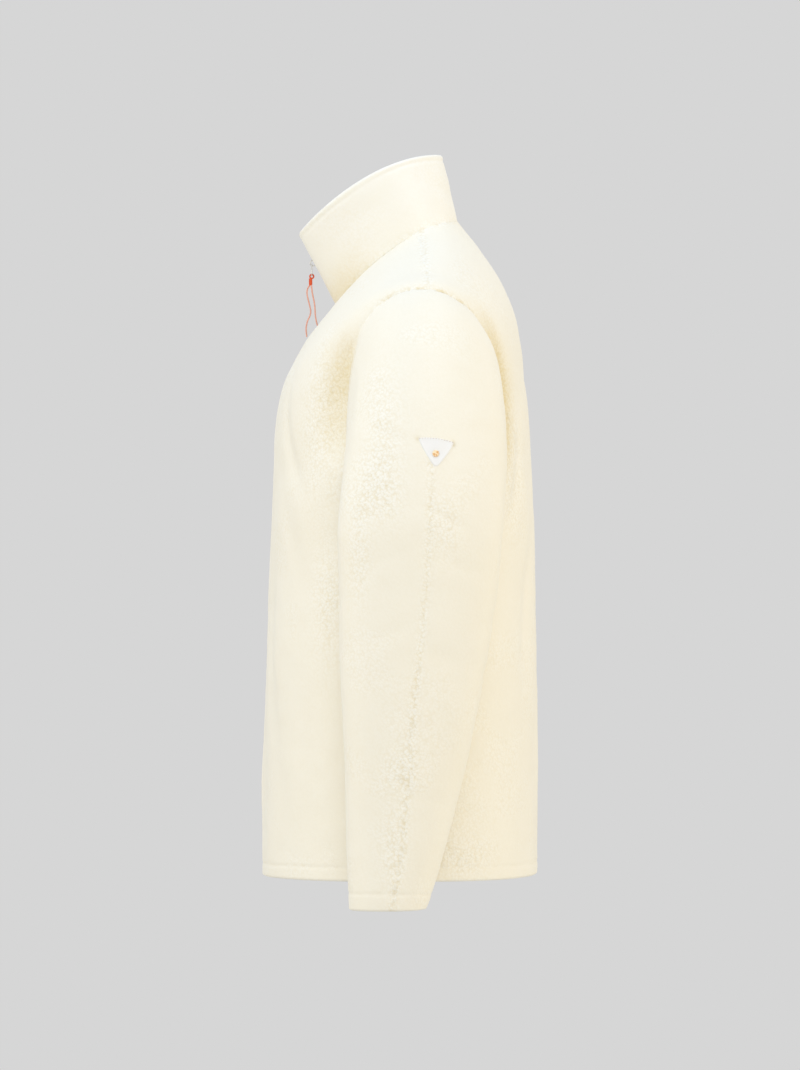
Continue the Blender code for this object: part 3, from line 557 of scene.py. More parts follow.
def slackness(points, seed):
    """The cloth's slow unevenness: value noise in three sizes, each about half as high as the last. The
    two larger ones are drawn out up and down."""
    drawn = points * np.array([1.0, 1.0, 0.62])
    heights = ((1.3, drawn, 80), (0.7, drawn, 37), (0.35, points, 17))
    return sum(high * MM * soft_noise(at, size * MM, seed + k) for k, (high, at, size) in enumerate(heights))


# %% [markdown]
# ## From grids to cloth
#
# Every panel is a closed wall: a fine outer face that carries the pile, a plainer inner face of the same
# fleece, and a strip round the edge that joins the two. Lines crowd together towards the edges, where
# the cloth rolls over. The inner face takes every third line, since nothing there needs more.

# %% Wall meshes


def crowded(count, ends=0.45):
    """count places from 0 to 1, closer at both ends: a straight run less a part of its sine wave."""
    even = np.linspace(0, 1, count)
    return even - ends * np.sin(2 * math.pi * even) / (2 * math.pi)


def mirrored(grid):
    """The grid at the right side: x changes sign, and the columns turn round so that it faces out."""
    return grid[:, ::-1] * MIRROR


def both_sides(left):
    """A grid that ends at the centre, carried on by its mirror image."""
    return np.concatenate([left, mirrored(left)[:, 1:]], axis=1)


def grid_loop(rows, columns):
    """The numbers of a grid's border points, once round against the clock."""
    index = np.arange(rows * columns).reshape(rows, columns)
    return np.concatenate([index[:-1, 0], index[-1, :-1], index[:0:-1, -1], index[0, :0:-1]])


def grid_quads(rows, columns):
    """The four corners of every face of a grid."""
    index = np.arange(rows * columns).reshape(rows, columns)
    quads = np.stack([index[:-1, :-1], index[1:, :-1], index[1:, 1:], index[:-1, 1:]], axis=-1)
    return quads.reshape(-1, 4)


def ring_quads(rings, sides):
    """The corners of every face between rings of points that close on themselves."""
    index = np.arange(rings * sides).reshape(rings, sides)
    after = np.roll(index, -1, axis=1)
    return np.stack([index[:-1], index[1:], after[1:], after[:-1]], axis=-1).reshape(-1, 4)


def add_object(name, data):
    """An object of a mesh or a curve, in the scene."""
    made = bpy.data.objects.new(name, data)
    bpy.context.scene.collection.objects.link(made)
    return made


def smooth_shaded(mesh, sharp_degrees):
    """Shades a mesh smooth but for edges that turn by more than an angle."""
    mesh.shade_smooth()
    mesh.set_sharp_from_angle(angle=math.radians(sharp_degrees))


def new_mesh(name, points, quads, triangles=()):
    """A mesh object from whole arrays of points, four-sided and three-sided faces."""
    mesh = bpy.data.meshes.new(name)
    mesh.from_pydata(points, [], [*quads.tolist(), *np.asarray(triangles, int).tolist()])
    mesh.validate()
    smooth_shaded(mesh, 55)
    print(f"{name}: {2 * len(quads) + len(triangles)} triangles")
    return add_object(name, mesh)


def wall(name, outer, inner, **shades):
    """A closed wall of cloth. The inner grid has a third of the outer's lines; the strip between
    joins every inner point to three outer ones. Each shade becomes an attribute."""
    rows, columns = outer.shape[:2]
    inner = inner[::3, ::3]
    inner_rows, inner_columns = inner.shape[:2]
    first_inner = rows * columns
    outer_loop = grid_loop(rows, columns)
    inner_loop = grid_loop(inner_rows, inner_columns) + first_inner
    count = len(outer_loop)
    here = np.arange(count)
    after = np.roll(outer_loop, -1)
    inner_here = inner_loop[(here + 1) // 3 % len(inner_loop)]
    fans = np.stack([after, outer_loop, inner_here], axis=-1)
    third = here[here % 3 == 2]
    inner_after = inner_loop[(third // 3 + 1) % len(inner_loop)]
    bridges = np.stack([outer_loop[third], inner_loop[third // 3], inner_after], axis=-1)
    points = np.concatenate([outer.reshape(-1, 3), inner.reshape(-1, 3)])
    quads = np.concatenate(
        [grid_quads(rows, columns), grid_quads(inner_rows, inner_columns)[:, ::-1] + first_inner]
    )
    made = new_mesh(name, points, quads, np.concatenate([fans, bridges]))
    for shade, values in shades.items():
        numbers = np.concatenate([values.ravel(), values[::3, ::3].ravel()]).astype(np.float32)
        made.data.attributes.new(shade, "FLOAT", "POINT").data.foreach_set("value", numbers)
    return made


def cloth_panel(name, outer, out, lift, curl, fold):
    """A panel of fleece whose outer face is lifted off its form, and the area of the form."""
    panel = wall(name, outer + out * lift[..., None], outer - out * FLEECE, curl=curl, fold=fold)
    return panel, area(outer)


def area(grid):
    """A grid's area: half the length of each face's crossed diagonals, added up."""
    diagonal = grid[1:, 1:] - grid[:-1, :-1]
    other = grid[1:, :-1] - grid[:-1, 1:]
    return float(np.linalg.norm(np.cross(diagonal, other), axis=-1).sum() / 2)


# %% [markdown]
# ## Seam lines
#
# The jacket is sewn along the shoulders, the armholes, the sides, the neck and both seams of each sleeve.
# The photograph shows the left side, where the armhole seam is a broken line of dents over the shoulder
# and the outer sleeve seam runs from the armhole to the cuff. The right side and the back of the jacket
# are not shown, so they get the same kinds of seam.

# %% Lines of the seams
LEFT_LINES = {
    "shoulder": line_points(torso(np.linspace(0, SHOULDER_END, 200), 1.0)),
    "armhole": line_points(armhole(np.linspace(0, 1, 500))),
    "side": line_points(torso(np.linspace(UNDERARM, HEM, 200), 1.0)),
    "sleeve_outer": line_points(sleeve(np.linspace(0, CUFF, 400), 0.0)),
    "sleeve_inner": line_points(sleeve(np.linspace(0, CUFF, 400), 0.5)),
    "neck": line_points(collar(np.zeros(300), np.linspace(0, 2, 300))),
}
RIGHT_LINES = {name: line * MIRROR for name, line in LEFT_LINES.items()}
# Depth and width of each seam's gully in millimetres, how much it wavers, and from where to where along
# it the pile leaves it bare, in millimetres from its start (the armhole's from the shoulder both ways)
SEAM_SHAPES = {
    "shoulder": (0.4, 1.8, 0.45, -20, 999),
    "armhole": (1.5, 2.2, 0.9, -20, 62),
    "side": (1.8, 3.0, 0.5, -20, 999),
    "sleeve_outer": (0.60, 2.0, 0.8, 190, 999),
    "sleeve_inner": (1.8, 3.0, 0.5, -20, 999),
    "neck": (0.5, 4.2, 0.3, -20, 999),
}
ARMHOLE_LENGTH = len(LEFT_LINES["armhole"]) * LINE_STEP
# The deep folds beside each armhole: their place on its seam as a share of its length from the shoulder
# through the back, their reach along it, their width and depth in millimetres, and their painted shade
ARMHOLE_FOLDS_LEFT = (
    (0.225, 0.095, 22, 4.6, 1.0),
    (0.290, 0.078, 35, 3.0, 0.9),
    (0.790, 0.045, 19, 2.2, 0.30),
    (0.735, 0.080, 31, 4.0, 0.50),
)
ARMHOLE_FOLDS_RIGHT = (
    (0.230, 0.085, 20, 4.4, 0.7),
    (0.295, 0.050, 24, 1.8, 0.3),
    (0.750, 0.095, 30, 4.2, 0.5),
)

print("Seam lines:", sum(len(line) for line in LEFT_LINES.values()), "points a side")


def folds(distance, along, right):
    """Depth and painted shade of the folds beside an armhole: flat-topped bells across its seam and along it.
    """
    depth, shade = np.zeros(distance.shape), np.zeros(distance.shape)
    for place, reach, width, deep, dark in ARMHOLE_FOLDS_RIGHT if right else ARMHOLE_FOLDS_LEFT:
        off = np.abs(along / ARMHOLE_LENGTH - place) / reach
        here = np.exp(-((distance / (width * MM)) ** 4) - off**3)
        depth += deep * MM * here
        shade += dark * here
    return depth, np.clip(shade, 0, 1)


SEAM_CURLS, SEAM_SHADE = 4.5 * MM, 2.0 * MM  # how far from a seam its curls and its shade reach
# Strengths of the shade painted along the armhole's seam and along the other seams, and the share of the
# folds' painted shade kept on the sleeve
ARMHOLE_SHADE, OTHER_SHADE, SLEEVE_SHADE = 1.6, 0.4, 0.3
SLEEVE_TIGHT = 2.6
KINKS, KINK_SIZE = 0.5 * MM, 4.4 * MM


def sewn(points, right, tight):
    """What the seams of one side do to the cloth: how far they and the folds beside the armhole draw it
    in, how near the closest seam is, the shade painted into the folds and along the seams, and how far the
    armhole is. The folds are tight times as narrow on the sleeve, which bulges over them, and their painted
    shade is paler there."""
    lines = RIGHT_LINES if right else LEFT_LINES
    sunk, near_seam, painted_seam_shade = (np.zeros(points.shape[:-1]) for _ in range(3))
    for order, (name, (depth, width, pucker, first, last)) in enumerate(SEAM_SHAPES.items()):
        distance, along = to_line(points, lines[name])
        at_armhole = name == "armhole"
        way = np.minimum(along, ARMHOLE_LENGTH - along) if at_armhole else along
        shown = smooth((way - first * MM) / (20 * MM)) * smooth((last * MM - way) / (20 * MM))
        seed = 31 * order + 7 * right + 3
        sunk += gully(distance, along, depth * MM, width * MM, seed, pucker, shown)
        near_seam = np.maximum(near_seam, (0.1 + 0.9 * shown) * bell(distance, SEAM_CURLS))
        bare = shown * bell(distance, SEAM_SHADE) * (ARMHOLE_SHADE if at_armhole else OTHER_SHADE)
        # painted shade in the seam's gully, uneven along it
        painted_seam_shade = np.maximum(painted_seam_shade, bare * (0.2 + 0.4 * waver(along, 6 * MM, seed + 4)))
        if at_armhole:
            fold_depth, fold = folds(distance * tight, along, right)
            from_armhole = distance
    # the folds' painted shade is paler on the sleeve
    if tight > 1:
        fold = SLEEVE_SHADE * fold
    return sunk + fold_depth, near_seam, np.clip(fold + painted_seam_shade, 0, 1), from_armhole


def cloth_lift(points, right, crease_table, tight=1.0):
    """How far the cloth stands out of the CAD model's surface, with its curl and its painted fold shade. The
    listed creases fade towards the armhole, so that both sides of its seam agree."""
    sunk, near_seam, fold, from_armhole = sewn(points, right, tight)
    curl = curliness(points, near_seam, fold)
    kinks = KINKS * near_seam * (tufts(points, KINK_SIZE, 91) - 0.6)
    lift = pile(points, curl) + kinks + slackness(points, 9) - sunk
    lift += creases(points, crease_table) * smooth(from_armhole / (15 * MM))
    return lift, curl, fold


def both_lifts(outer, crease_table):
    """The same for a grid that runs from the left side over to the right."""
    middle = outer.shape[1] // 2
    left = cloth_lift(outer[:, :middle], False, crease_table)
    right = cloth_lift(outer[:, middle:], True, crease_table)
    return [np.concatenate(parts, axis=1) for parts in zip(left, right)]


# %% [markdown]
# ## Creases
#
# Where the filled-out cloth turns or is pulled, it creases: round the elbows, beside the armholes and
# down the body. Each crease is set one by one at its place, soft and uneven, and the hidden sides have some
# of the same kinds.

# %% The creases
# Centre, run, half length, half width, bend and depth of each crease, in millimetres. Negative depths
# are troughs, and positive ones the soft ridges between them.
SLEEVE_CREASES_LEFT = (
    ((300, -40, -203), (0, -0.9, 0.45), 26, 5.5, -3, -0.8),
    ((302, -36, -192), (0, -0.9, 0.42), 24, 6.0, -3, 0.5),
    ((304, 26, -287), (0, 0.8, -0.5), 17, 3.4, 2, -0.9),
    ((304, 40, -334), (0, 0.9, -0.35), 26, 7.0, 4, -0.6),
    ((305, -44, -330), (0, -0.8, -0.5), 30, 7.0, 4, -0.5),
    ((304, -30, -398), (0, 0.9, 0.4), 34, 8.0, 4, -0.6),
    ((304, 24, -420), (0, 0.9, -0.3), 30, 8.0, -4, -0.5),
    ((300, -26, -505), (0, 0.85, 0.4), 28, 8.0, 3, -0.5),
    ((298, 14, -560), (0, 0.9, -0.3), 24, 7.0, 3, -0.5),
    ((255, -77, -372), (0.9, 0, 0.3), 26, 7.0, -3, -1.3),
    ((258, 72, -380), (0.9, 0, -0.25), 28, 7.5, 3, -1.4),
    ((256, 62, -440), (0.9, 0, 0.3), 26, 8.0, -3, -1.2),
    ((225, 10, -350), (0, 0.9, 0.3), 30, 7.0, 3, -1.6),
    ((226, -12, -430), (0, 0.9, -0.3), 30, 8.0, 3, -1.5),
)
# Where the badge's stitching pulls the pile down beside its two top corners
BADGE_DENTS = (
    ((301, -2.6, -209.8), (0, 1, 0.2), 2.4, 1.8, 0, -1.3),
    ((301, 31.8, -214.2), (0, 0.3, -1), 2.6, 1.6, 0, -1.3),
)
SLEEVE_CREASES_RIGHT = (
    ((-301, -30, -214), (0, -0.9, 0.35), 30, 8.0, -4, -1.3),
    ((-304, 34, -262), (0, 0.85, -0.45), 24, 9.0, 3, -1.1),
    ((-305, -38, -348), (0, -0.85, -0.4), 32, 7.5, 4, -1.3),
    ((-305, 30, -388), (0, 0.9, -0.3), 32, 8.0, 4, -1.3),
    ((-303, -20, -448), (0, 0.9, 0.35), 32, 8.0, 3, -1.2),
    ((-299, 16, -530), (0, 0.9, -0.35), 26, 7.5, -3, -1.0),
    ((-256, -77, -392), (0.9, 0, -0.3), 28, 7.5, -3, -1.4),
    ((-258, 70, -404), (0.9, 0, 0.3), 28, 8.0, -3, -1.4),
    ((-225, 6, -372), (0, 0.9, -0.3), 30, 8.0, 3, -1.6),
)
BODY_CREASES = (
    ((120, -146, -215), (0.5, 0, -0.85), 52, 10, -6, -3.4),
    ((150, -150, -330), (0.35, 0, -0.9), 60, 12, 6, -1.6),
    ((90, -152, -430), (0.2, 0, -1), 90, 15, -8, -2.9),
    ((170, -130, -540), (0.1, 0, -1), 70, 13, 6, -1.4),
    ((40, -156, -560), (0.15, 0, -1), 55, 12, -5, 2.3),
    ((-112, -146, -232), (-0.5, 0, -0.85), 48, 11, -6, -3.6),
    ((-150, -148, -352), (-0.3, 0, -0.95), 66, 12, -6, -3.2),
    ((-80, -153, -470), (-0.1, 0, -1), 80, 15, 7, -2.9),
    ((-165, -132, -560), (0.05, 0, -1), 60, 12, -5, -2.7),
    ((132, 104, -255), (0.45, 0, -0.9), 56, 10, -6, -3.4),
    ((104, 116, -372), (0.25, 0, -0.95), 70, 13, 6, -3.2),
    ((46, 117, -500), (0.1, 0, -1), 84, 15, -6, -2.9),
    ((160, 100, -540), (-0.1, 0, -1), 60, 12, -5, -1.2),
    ((-128, 105, -268), (-0.5, 0, -0.85), 52, 11, 6, -3.4),
    ((-96, 116, -400), (-0.2, 0, -1), 76, 14, -6, -3.2),
    ((-40, 117, -560), (0.1, 0, -1), 60, 13, -5, -2.5),
    ((-158, 98, -500), (0.1, 0, -1), 66, 12, 5, -2.7),
    ((0, 100, -150), (1, 0, 0.1), 60, 11, -8, -0.9),
)
COLLAR_CREASES = (
    ((66, -50, 20), (0, 0.8, 0.5), 34, 9, 5, -0.9),
    ((-67, -44, 12), (0, 0.8, 0.4), 36, 9, -5, -0.9),
    ((30, 24, 40), (1, 0, 0.2), 30, 8, -4, -0.8),
)
CREASE_TABLES = (SLEEVE_CREASES_LEFT, SLEEVE_CREASES_RIGHT, BODY_CREASES, COLLAR_CREASES)
print("Creases set by hand:", sum(len(table) for table in CREASE_TABLES))

# %% [markdown]
# ## The body's panels
#
# Each front is cut in one piece from the shoulder to the hem, and the back in one piece across. They are
# built as grids whose rows follow the rings and whose last columns follow the armhole, exactly where the
# sleeve's first row starts. The hem is turned in and stitched 13 mm up, and the front edges are turned
# and stitched beside the zip.

# %% Fronts and back
BESIDE_ROWS, YOKE_ROWS, BODY_ROWS = 97, 48, 162
STRAIGHT_ROWS = 0.45  # the part of each row, from the centre, that isn't bent
FRONT_COLUMNS, BACK_COLUMNS = 112, 112
HEM_STITCH, HEM_ROLL, HEM_FURROW = 13.0 * MM, 2.4 * MM, 0.55 * MM
FRONT_STITCH, FRONT_ROLL, FRONT_FURROW = 6.0 * MM, 2.2 * MM, 1.0 * MM
FRONT_FLAT = (0.25, 25 * MM)  # the part of the unevenness left at the front edge, and its reach
EDGE_ROLL = 3.5 * MM
NEAR_EDGE = (np.arange(9) / 9) ** 1.25  # where the first nine lines lie in a front edge's roll


def columns_from_edge(table, place, channel, last, shares):
    """A panel's places around from its front edge: first through the edge's roll, then on to the last."""
    channel = np.broadcast_to(channel, place.shape)[:, None]
    first = around_at(table, place[:, None], channel + EDGE_ROLL * NEAR_EDGE, channel)
    start = around_at(table, place[:, None], channel + EDGE_ROLL, channel)
    return np.concatenate([first, start + (last - start) * shares], axis=1)


def torso_rows():
    """The rows' places, close together at the hem, and the part of them that lies beside the armhole."""
    yoke = by_length(lambda place: torso(place, 1.0), 0, SHOULDER_END, np.linspace(0, 1, YOKE_ROWS + 1))[:-1]
    beside, _ = armhole_turn(0.5 * crowded(BESIDE_ROWS))
    shares = 2 * crowded(2 * BODY_ROWS + 1)[BODY_ROWS:] - 1
    body = by_length(lambda place: torso(place, 1.0), UNDERARM, HEM, shares)[1:]
    return np.concatenate([yoke, beside, body])


def torso_grid(back):
    """Outer points and outward directions of the left front or the left half of the back. The rows are
    even at the centre, and bend to meet the armhole's points, which lie close together at its top."""
    beside_place = torso_rows()
    count = len(beside_place)
    even_shares = 2 * crowded(2 * count - 1)[count - 1 :] - 1
    even = by_length(lambda place: torso(place, 2.0 if back else 0.2), 0, HEM, even_shares)
    turns = 0.5 * crowded(BESIDE_ROWS)
    edge = np.ones_like(beside_place)
    edge[YOKE_ROWS : YOKE_ROWS + BESIDE_ROWS] = armhole_turn(turns if back else 1 - turns)[1]
    if back:
        # crowded towards the side only, since the centre back has no seam
        shares = 2 * crowded(2 * BACK_COLUMNS - 1)[:BACK_COLUMNS]
        around = edge[:, None] + (2 - edge)[:, None] * shares
        to_side = 1 - shares
    else:
        past_roll = FRONT_COLUMNS - len(NEAR_EDGE)
        shares = 2 * crowded(2 * past_roll - 1)[past_roll - 1 :] - 1
        around = columns_from_edge(TORSO_RINGS, even, ZIP_CHANNEL, edge[:, None], shares)
        to_side = np.concatenate([0 * NEAR_EDGE, shares])
    bent = smooth((to_side - STRAIGHT_ROWS) / (1 - STRAIGHT_ROWS))
    place = even[:, None] * (1 - bent) + beside_place[:, None] * bent
    return torso(place, around), turned_at_neck(torso_normal(place, around), place, around)


def edge_shape(distance, along, stitch_at, radius, furrow, seed):
    """How far a turned edge stands in: its roll, and the furrow of the stitches at their distance."""
    return rolled(distance, radius) + stitched(distance, along, stitch_at, furrow, seed)


def hem_shape(outer, along, stitch_at, seed):
    """The turned edge along a grid's last row."""
    up = lengths(outer[::-1], 0)[::-1]
    return edge_shape(up, along, stitch_at, HEM_ROLL, HEM_FURROW, seed)


def add_front(right):
    """A front panel of one side."""
    outer, out = torso_grid(back=False)
    if right:
        outer, out = mirrored(outer), mirrored(out)
    from_edge = lengths(outer[:, ::-1], 1)[:, ::-1] if right else lengths(outer, 1)
    lift, curl, fold = cloth_lift(outer, right, BODY_CREASES)
    lift *= FRONT_FLAT[0] + (1 - FRONT_FLAT[0]) * smooth(from_edge / FRONT_FLAT[1])
    lift -= hem_shape(outer, from_edge, HEM_STITCH, 40 + right)
    down = lengths(outer, 0)
    lift -= edge_shape(from_edge, down, FRONT_STITCH, FRONT_ROLL, FRONT_FURROW, 50 + right)
    return cloth_panel(f"front_{SIDES[right]}_cloth", outer, out, lift, curl, fold)


def add_back():
    """The back panel, from one side seam across to the other."""
    outer, out = (both_sides(grid) for grid in torso_grid(back=True))
    lift, curl, fold = both_lifts(outer, BODY_CREASES)
    lift -= hem_shape(outer, lengths(outer, 1), HEM_STITCH, 44)
    return cloth_panel("back_cloth", outer, out, lift, curl, fold)


front_left, front_area = add_front(right=False)
front_right, _ = add_front(right=True)
back, back_area = add_back()
print("Areas in square metres: front", round(front_area, 4), "back", round(back_area, 4))

# %% [markdown]
# ## The collar
#
# The stand collar is two layers of the fleece, sewn round the neck and stitched again close to its top
# edge. It leans forward and stands open at the front, where the slider has stopped halfway. One grid
# goes from edge to edge round the back of the neck, and its inner face is the collar's facing.

# %% The collar
COLLAR_ROWS, COLLAR_COLUMNS = 61, 100
COLLAR_STITCH, COLLAR_ROLL, COLLAR_SIDE_ROLL, COLLAR_FURROW = 6.5 * MM, 3.0 * MM, 2.6 * MM, 0.6 * MM
# Strength, upward reach and reach back from the front edges of the shade painted low at the collar's front
COLLAR_SHADE, SHADE_UP, SHADE_BACK = 0.55, 24 * MM, (95 * MM, 60 * MM)
CORNER = 9.0 * MM
THICKENED = 0.35  # the collar reaches its full thickness this far up its first ring


def rounded_corners(outer, down, across, from_edge):
    """How far the collar's points move to round its front corners: a square patch of distances from
    both edges is mapped onto a quarter of a disc."""
    share_down = np.clip(1 - down / CORNER, 0, 1)
    share_side = np.clip(1 - from_edge / CORNER, 0, 1)
    move_down = CORNER * share_down * (1 - np.sqrt(1 - share_side**2 / 2))
    move_side = CORNER * share_side * (1 - np.sqrt(1 - share_down**2 / 2))
    inwards = np.where(across < across[:, -1:] / 2, 1, -1) * move_side
    by_row, by_column = (unit(np.gradient(outer, axis=axis)) for axis in (0, 1))
    return by_row * move_down[..., None] + by_column * inwards[..., None]


def add_collar():
    """The stand collar, with a rolled edge on three sides and a stitch line near the top."""
    place = by_length(lambda place: collar(place, 1.0), 0, COLLAR_TOP, crowded(COLLAR_ROWS))[::-1]
    channel = ZIP_CHANNEL + open_spread(place)
    shares = np.linspace(0, 1, COLLAR_COLUMNS - len(NEAR_EDGE))
    around = columns_from_edge(COLLAR_RINGS, place, channel, 2, shares)
    place = np.broadcast_to(place[:, None], around.shape)
    outer = both_sides(collar(place, around))
    out = both_sides(turned_at_neck(collar_normal(place, around), place, around))
    down, across = lengths(outer, 0), lengths(outer, 1)
    from_edge = np.minimum(across, across[:, -1:] - across)
    lift, curl, fold = both_lifts(outer, COLLAR_CREASES)
    edges = rolled(down, COLLAR_ROLL) + rolled(from_edge, COLLAR_SIDE_ROLL)
    lift -= edges + stitched(down, across, COLLAR_STITCH, COLLAR_FURROW, 60)
    lift -= stitched(from_edge, down, FRONT_STITCH, COLLAR_FURROW, 63)
    # painted shade, warm, low down at the front, where the collar meets the body
    up = down[-1:] - down
    fold += COLLAR_SHADE * bell(up, SHADE_UP) * smooth((SHADE_BACK[0] - from_edge) / SHADE_BACK[1])
    thick = (FLEECE + (COLLAR_CLOTH - FLEECE) * smooth(place / THICKENED))[:, :1]
    moved = outer + rounded_corners(outer, down, across, from_edge)
    inner = moved - out * (thick - 0.5 * edges)[..., None]
    lifted = moved + out * lift[..., None]
    panel = wall("collar_cloth", lifted, inner, curl=0.6 * curl, fold=np.clip(fold, 0, 1))
    return panel, area(outer)


collar_piece, collar_area = add_collar()
print("The collar's outer layer:", round(collar_area, 4), "square metres")

# %% [markdown]
# ## The sleeves
#
# Each sleeve is cut in two halves that meet in an outer and an inner seam. The outer seam starts under
# the shoulder seam and passes under the badge down to the cuff. The rows run round the arm, from the
# armhole's oval to the level rings of the cuff, which is turned in and stitched 17 mm up.

# %% Sleeves
SLEEVE_ROWS, HALF_SLEEVE_COLUMNS = 280, 97
CUFF_STITCH = 17.0 * MM


def add_sleeve_half(back_half, right):
    """One half of one sleeve."""
    place = by_length(lambda place: sleeve(place, 0.0), 0, CUFF, crowded(SLEEVE_ROWS))
    turn = (0.0 if back_half else 0.5) + 0.5 * crowded(HALF_SLEEVE_COLUMNS)
    place, turn = np.meshgrid(place, turn, indexing="ij")
    outer, out = sleeve(place, turn), sleeve_direction(place, turn)
    if right:
        outer, out = mirrored(outer), mirrored(out)
    around = lengths(outer, 1) + (0 if back_half else 0.4)
    crease_table = SLEEVE_CREASES_RIGHT if right else SLEEVE_CREASES_LEFT
    lift, curl, fold = cloth_lift(outer, right, crease_table, SLEEVE_TIGHT)
    if not right:
        dents = creases(outer, BADGE_DENTS)
        # the dents also get painted shade, more where they are deeper
        lift, fold = lift + dents, np.clip(fold - 0.5 * dents / MM, 0, 1)
    lift -= hem_shape(outer, around, CUFF_STITCH, 70 + right)
    name = f"sleeve_{SIDES[right]}_{'back' if back_half else 'front'}_cloth"
    return cloth_panel(name, outer, out, lift, curl, fold)


sleeve_halves = {}
for right in (False, True):
    for back_half in (True, False):
        half, half_area = add_sleeve_half(back_half, right)
        sleeve_halves[half.name] = half
        print(half.name, "is", round(half_area, 4), "square metres")

# %% [markdown]
# ## The zip
#
# A moulded zip closes the front. Its tapes are woven, and lie behind the turned front edges. Each tooth
# is moulded round the tape's corded edge, with a head that reaches between the teeth opposite. One tooth
# is drawn once, as a rounded bar whose width changes from its head to its root, and copied along both
# front edges as one array.

# %% Lines along the front edge
TEETH_TOP = 1.93
TEETH_DEPTH = 2.6 * MM
TAPE_THICK = 1.0 * MM
SEAM_GAP = 0.3 * MM
BOX_HEIGHT = 10.0 * MM


def front_line(x, depth, count=500, top=TEETH_TOP, foot=0.0):
    """A line along the left front edge, from the hem up: x from the centre, and depth below the cloth's
    back. It has count points at even steps of its own length."""
    low_place, high_place = np.linspace(HEM, 0, 260), np.linspace(0, top, 80)[1:]
    around = around_at(TORSO_RINGS, low_place, x, ZIP_CHANNEL)
    low = torso(low_place, around) - torso_normal(low_place, around) * (FLEECE + depth)
    spread = open_spread(high_place)
    around = around_at(COLLAR_RINGS, high_place, x + spread, ZIP_CHANNEL + spread)
    thick = (FLEECE + (COLLAR_CLOTH - FLEECE) * smooth(high_place / THICKENED) + depth)[:, None]
    high = collar(high_place, around) - collar_normal(high_place, around) * thick
    points = np.concatenate([low, high])
    return read_off(points, np.linspace(foot, lengths(points, 0)[-1], count))


def swept(stations, ring):
    """A bar's points and quads: a ring of (y, z) scaled and moved at each station (x, wide, deep)."""
    points = np.array([[(x, y * wide, z * deep) for y, z in ring] for x, wide, deep in stations])
    return points.reshape(-1, 3), ring_quads(len(stations), len(ring))


def copied(points, quads, centres, across, up, out):
    """Copies of a small shape in many frames: its x, y and z along each frame's three directions."""
    frames = np.stack([across, up, out], axis=1)
    placed = centres[:, None, :] + np.einsum("pk,nkc->npc", points, frames)
    step = (np.arange(len(centres)) * len(points))[:, None, None]
    return placed.reshape(-1, 3), (quads[None] + step).reshape(-1, 4)


# %% Teeth and tapes
TOOTH_PITCH = 2.5 * MM
TEETH_HALF_GAP = 0.2 * MM
TEETH_ABOVE_BOX = 2.2 * MM
# From the head to the root: distance from the centre, half height and half depth, in millimetres
TOOTH_STATIONS = (
    (-0.92, 0.02, 0.05), (-0.90, 0.42, 0.75), (-0.62, 0.62, 1.02), (-0.10, 0.66, 1.05), (0.45, 0.44, 1.02),
    (1.10, 0.46, 1.10), (1.55, 0.80, 1.28), (2.90, 0.80, 1.28), (3.30, 0.62, 1.05), (3.34, 0.02, 0.05),
)


def add_teeth(right):
    """All the teeth of one side, half a pitch higher on the right, so that the heads interlock."""
    line = front_line(TEETH_HALF_GAP, -TEETH_DEPTH / 2, 3000)
    foot = BOX_HEIGHT + TEETH_ABOVE_BOX + (TOOTH_PITCH / 2 if right else 0)
    count = int((lengths(line, 0)[-1] - foot) / TOOTH_PITCH)
    places = foot + TOOTH_PITCH * np.arange(count)
    centres, ahead, behind = (read_off(line, places + step) for step in (0, 1 * MM, -1 * MM))
    centres[:, 0] -= TEETH_HALF_GAP
    up = unit((ahead - behind) * np.array([0, 1, 1]))
    across = np.broadcast_to(np.array([1.0, 0, 0]), up.shape)
    out = np.cross(across, up)
    out = out * np.sign(-out[:, 1:2])
    points, quads = swept(np.array(TOOTH_STATIONS) * MM, oval(12, 1, 1, 0.55, 0.55))
    placed, faces = copied(points, quads, centres, across, up, out)
    if right:
        placed, faces = placed * MIRROR, faces[:, ::-1]
    print(count, "teeth")
    return new_mesh(f"zip_teeth_{SIDES[right]}_row", placed, faces)


# How far from the centre the tape's lines lie, in millimetres, and its corded edge's place and reach
TAPE_LINES = np.array([0.25, 0.6, 1.2, 1.9, 2.6, 3.4, 4.5, 6, 8, 10, 12, 14, 15.5, 16.5, TAPE_EDGE / MM])
TAPE_CORD, TAPE_CORD_REACH, TAPE_CORD_RISE = 1.6, 0.9, 0.45


def add_tape(right):
    """A woven tape: a strip 1 mm thick with a corded edge under the teeth, closed all round."""
    rises = TAPE_CORD_RISE * bell(TAPE_LINES - TAPE_CORD, TAPE_CORD_REACH)
    depths = [SEAM_GAP - rise * MM for rise in rises] + [SEAM_GAP + TAPE_THICK] * len(rises)
    places = np.concatenate([TAPE_LINES, TAPE_LINES[::-1]]) * MM
    lines = [front_line(x, depth, 320, foot=2 * MM) for x, depth in zip(places, depths)]
    points = np.stack(lines, axis=1)
    rows, columns = points.shape[:2]
    first, half = np.arange(columns), columns // 2
    cap = np.stack([first[: half - 1], first[1:half], first[::-1][1:half], first[::-1][: half - 1]], axis=-1)
    quads = np.concatenate([ring_quads(rows, columns)[:, ::-1], cap[:, ::-1], cap + (rows - 1) * columns])
    points = points.reshape(-1, 3)
    if right:
        points, quads = points * MIRROR, quads[:, ::-1]
    return new_mesh(f"zip_tape_{SIDES[right]}_woven", points, quads)


teeth = [add_teeth(False), add_teeth(True)]
tapes = [add_tape(False), add_tape(True)]

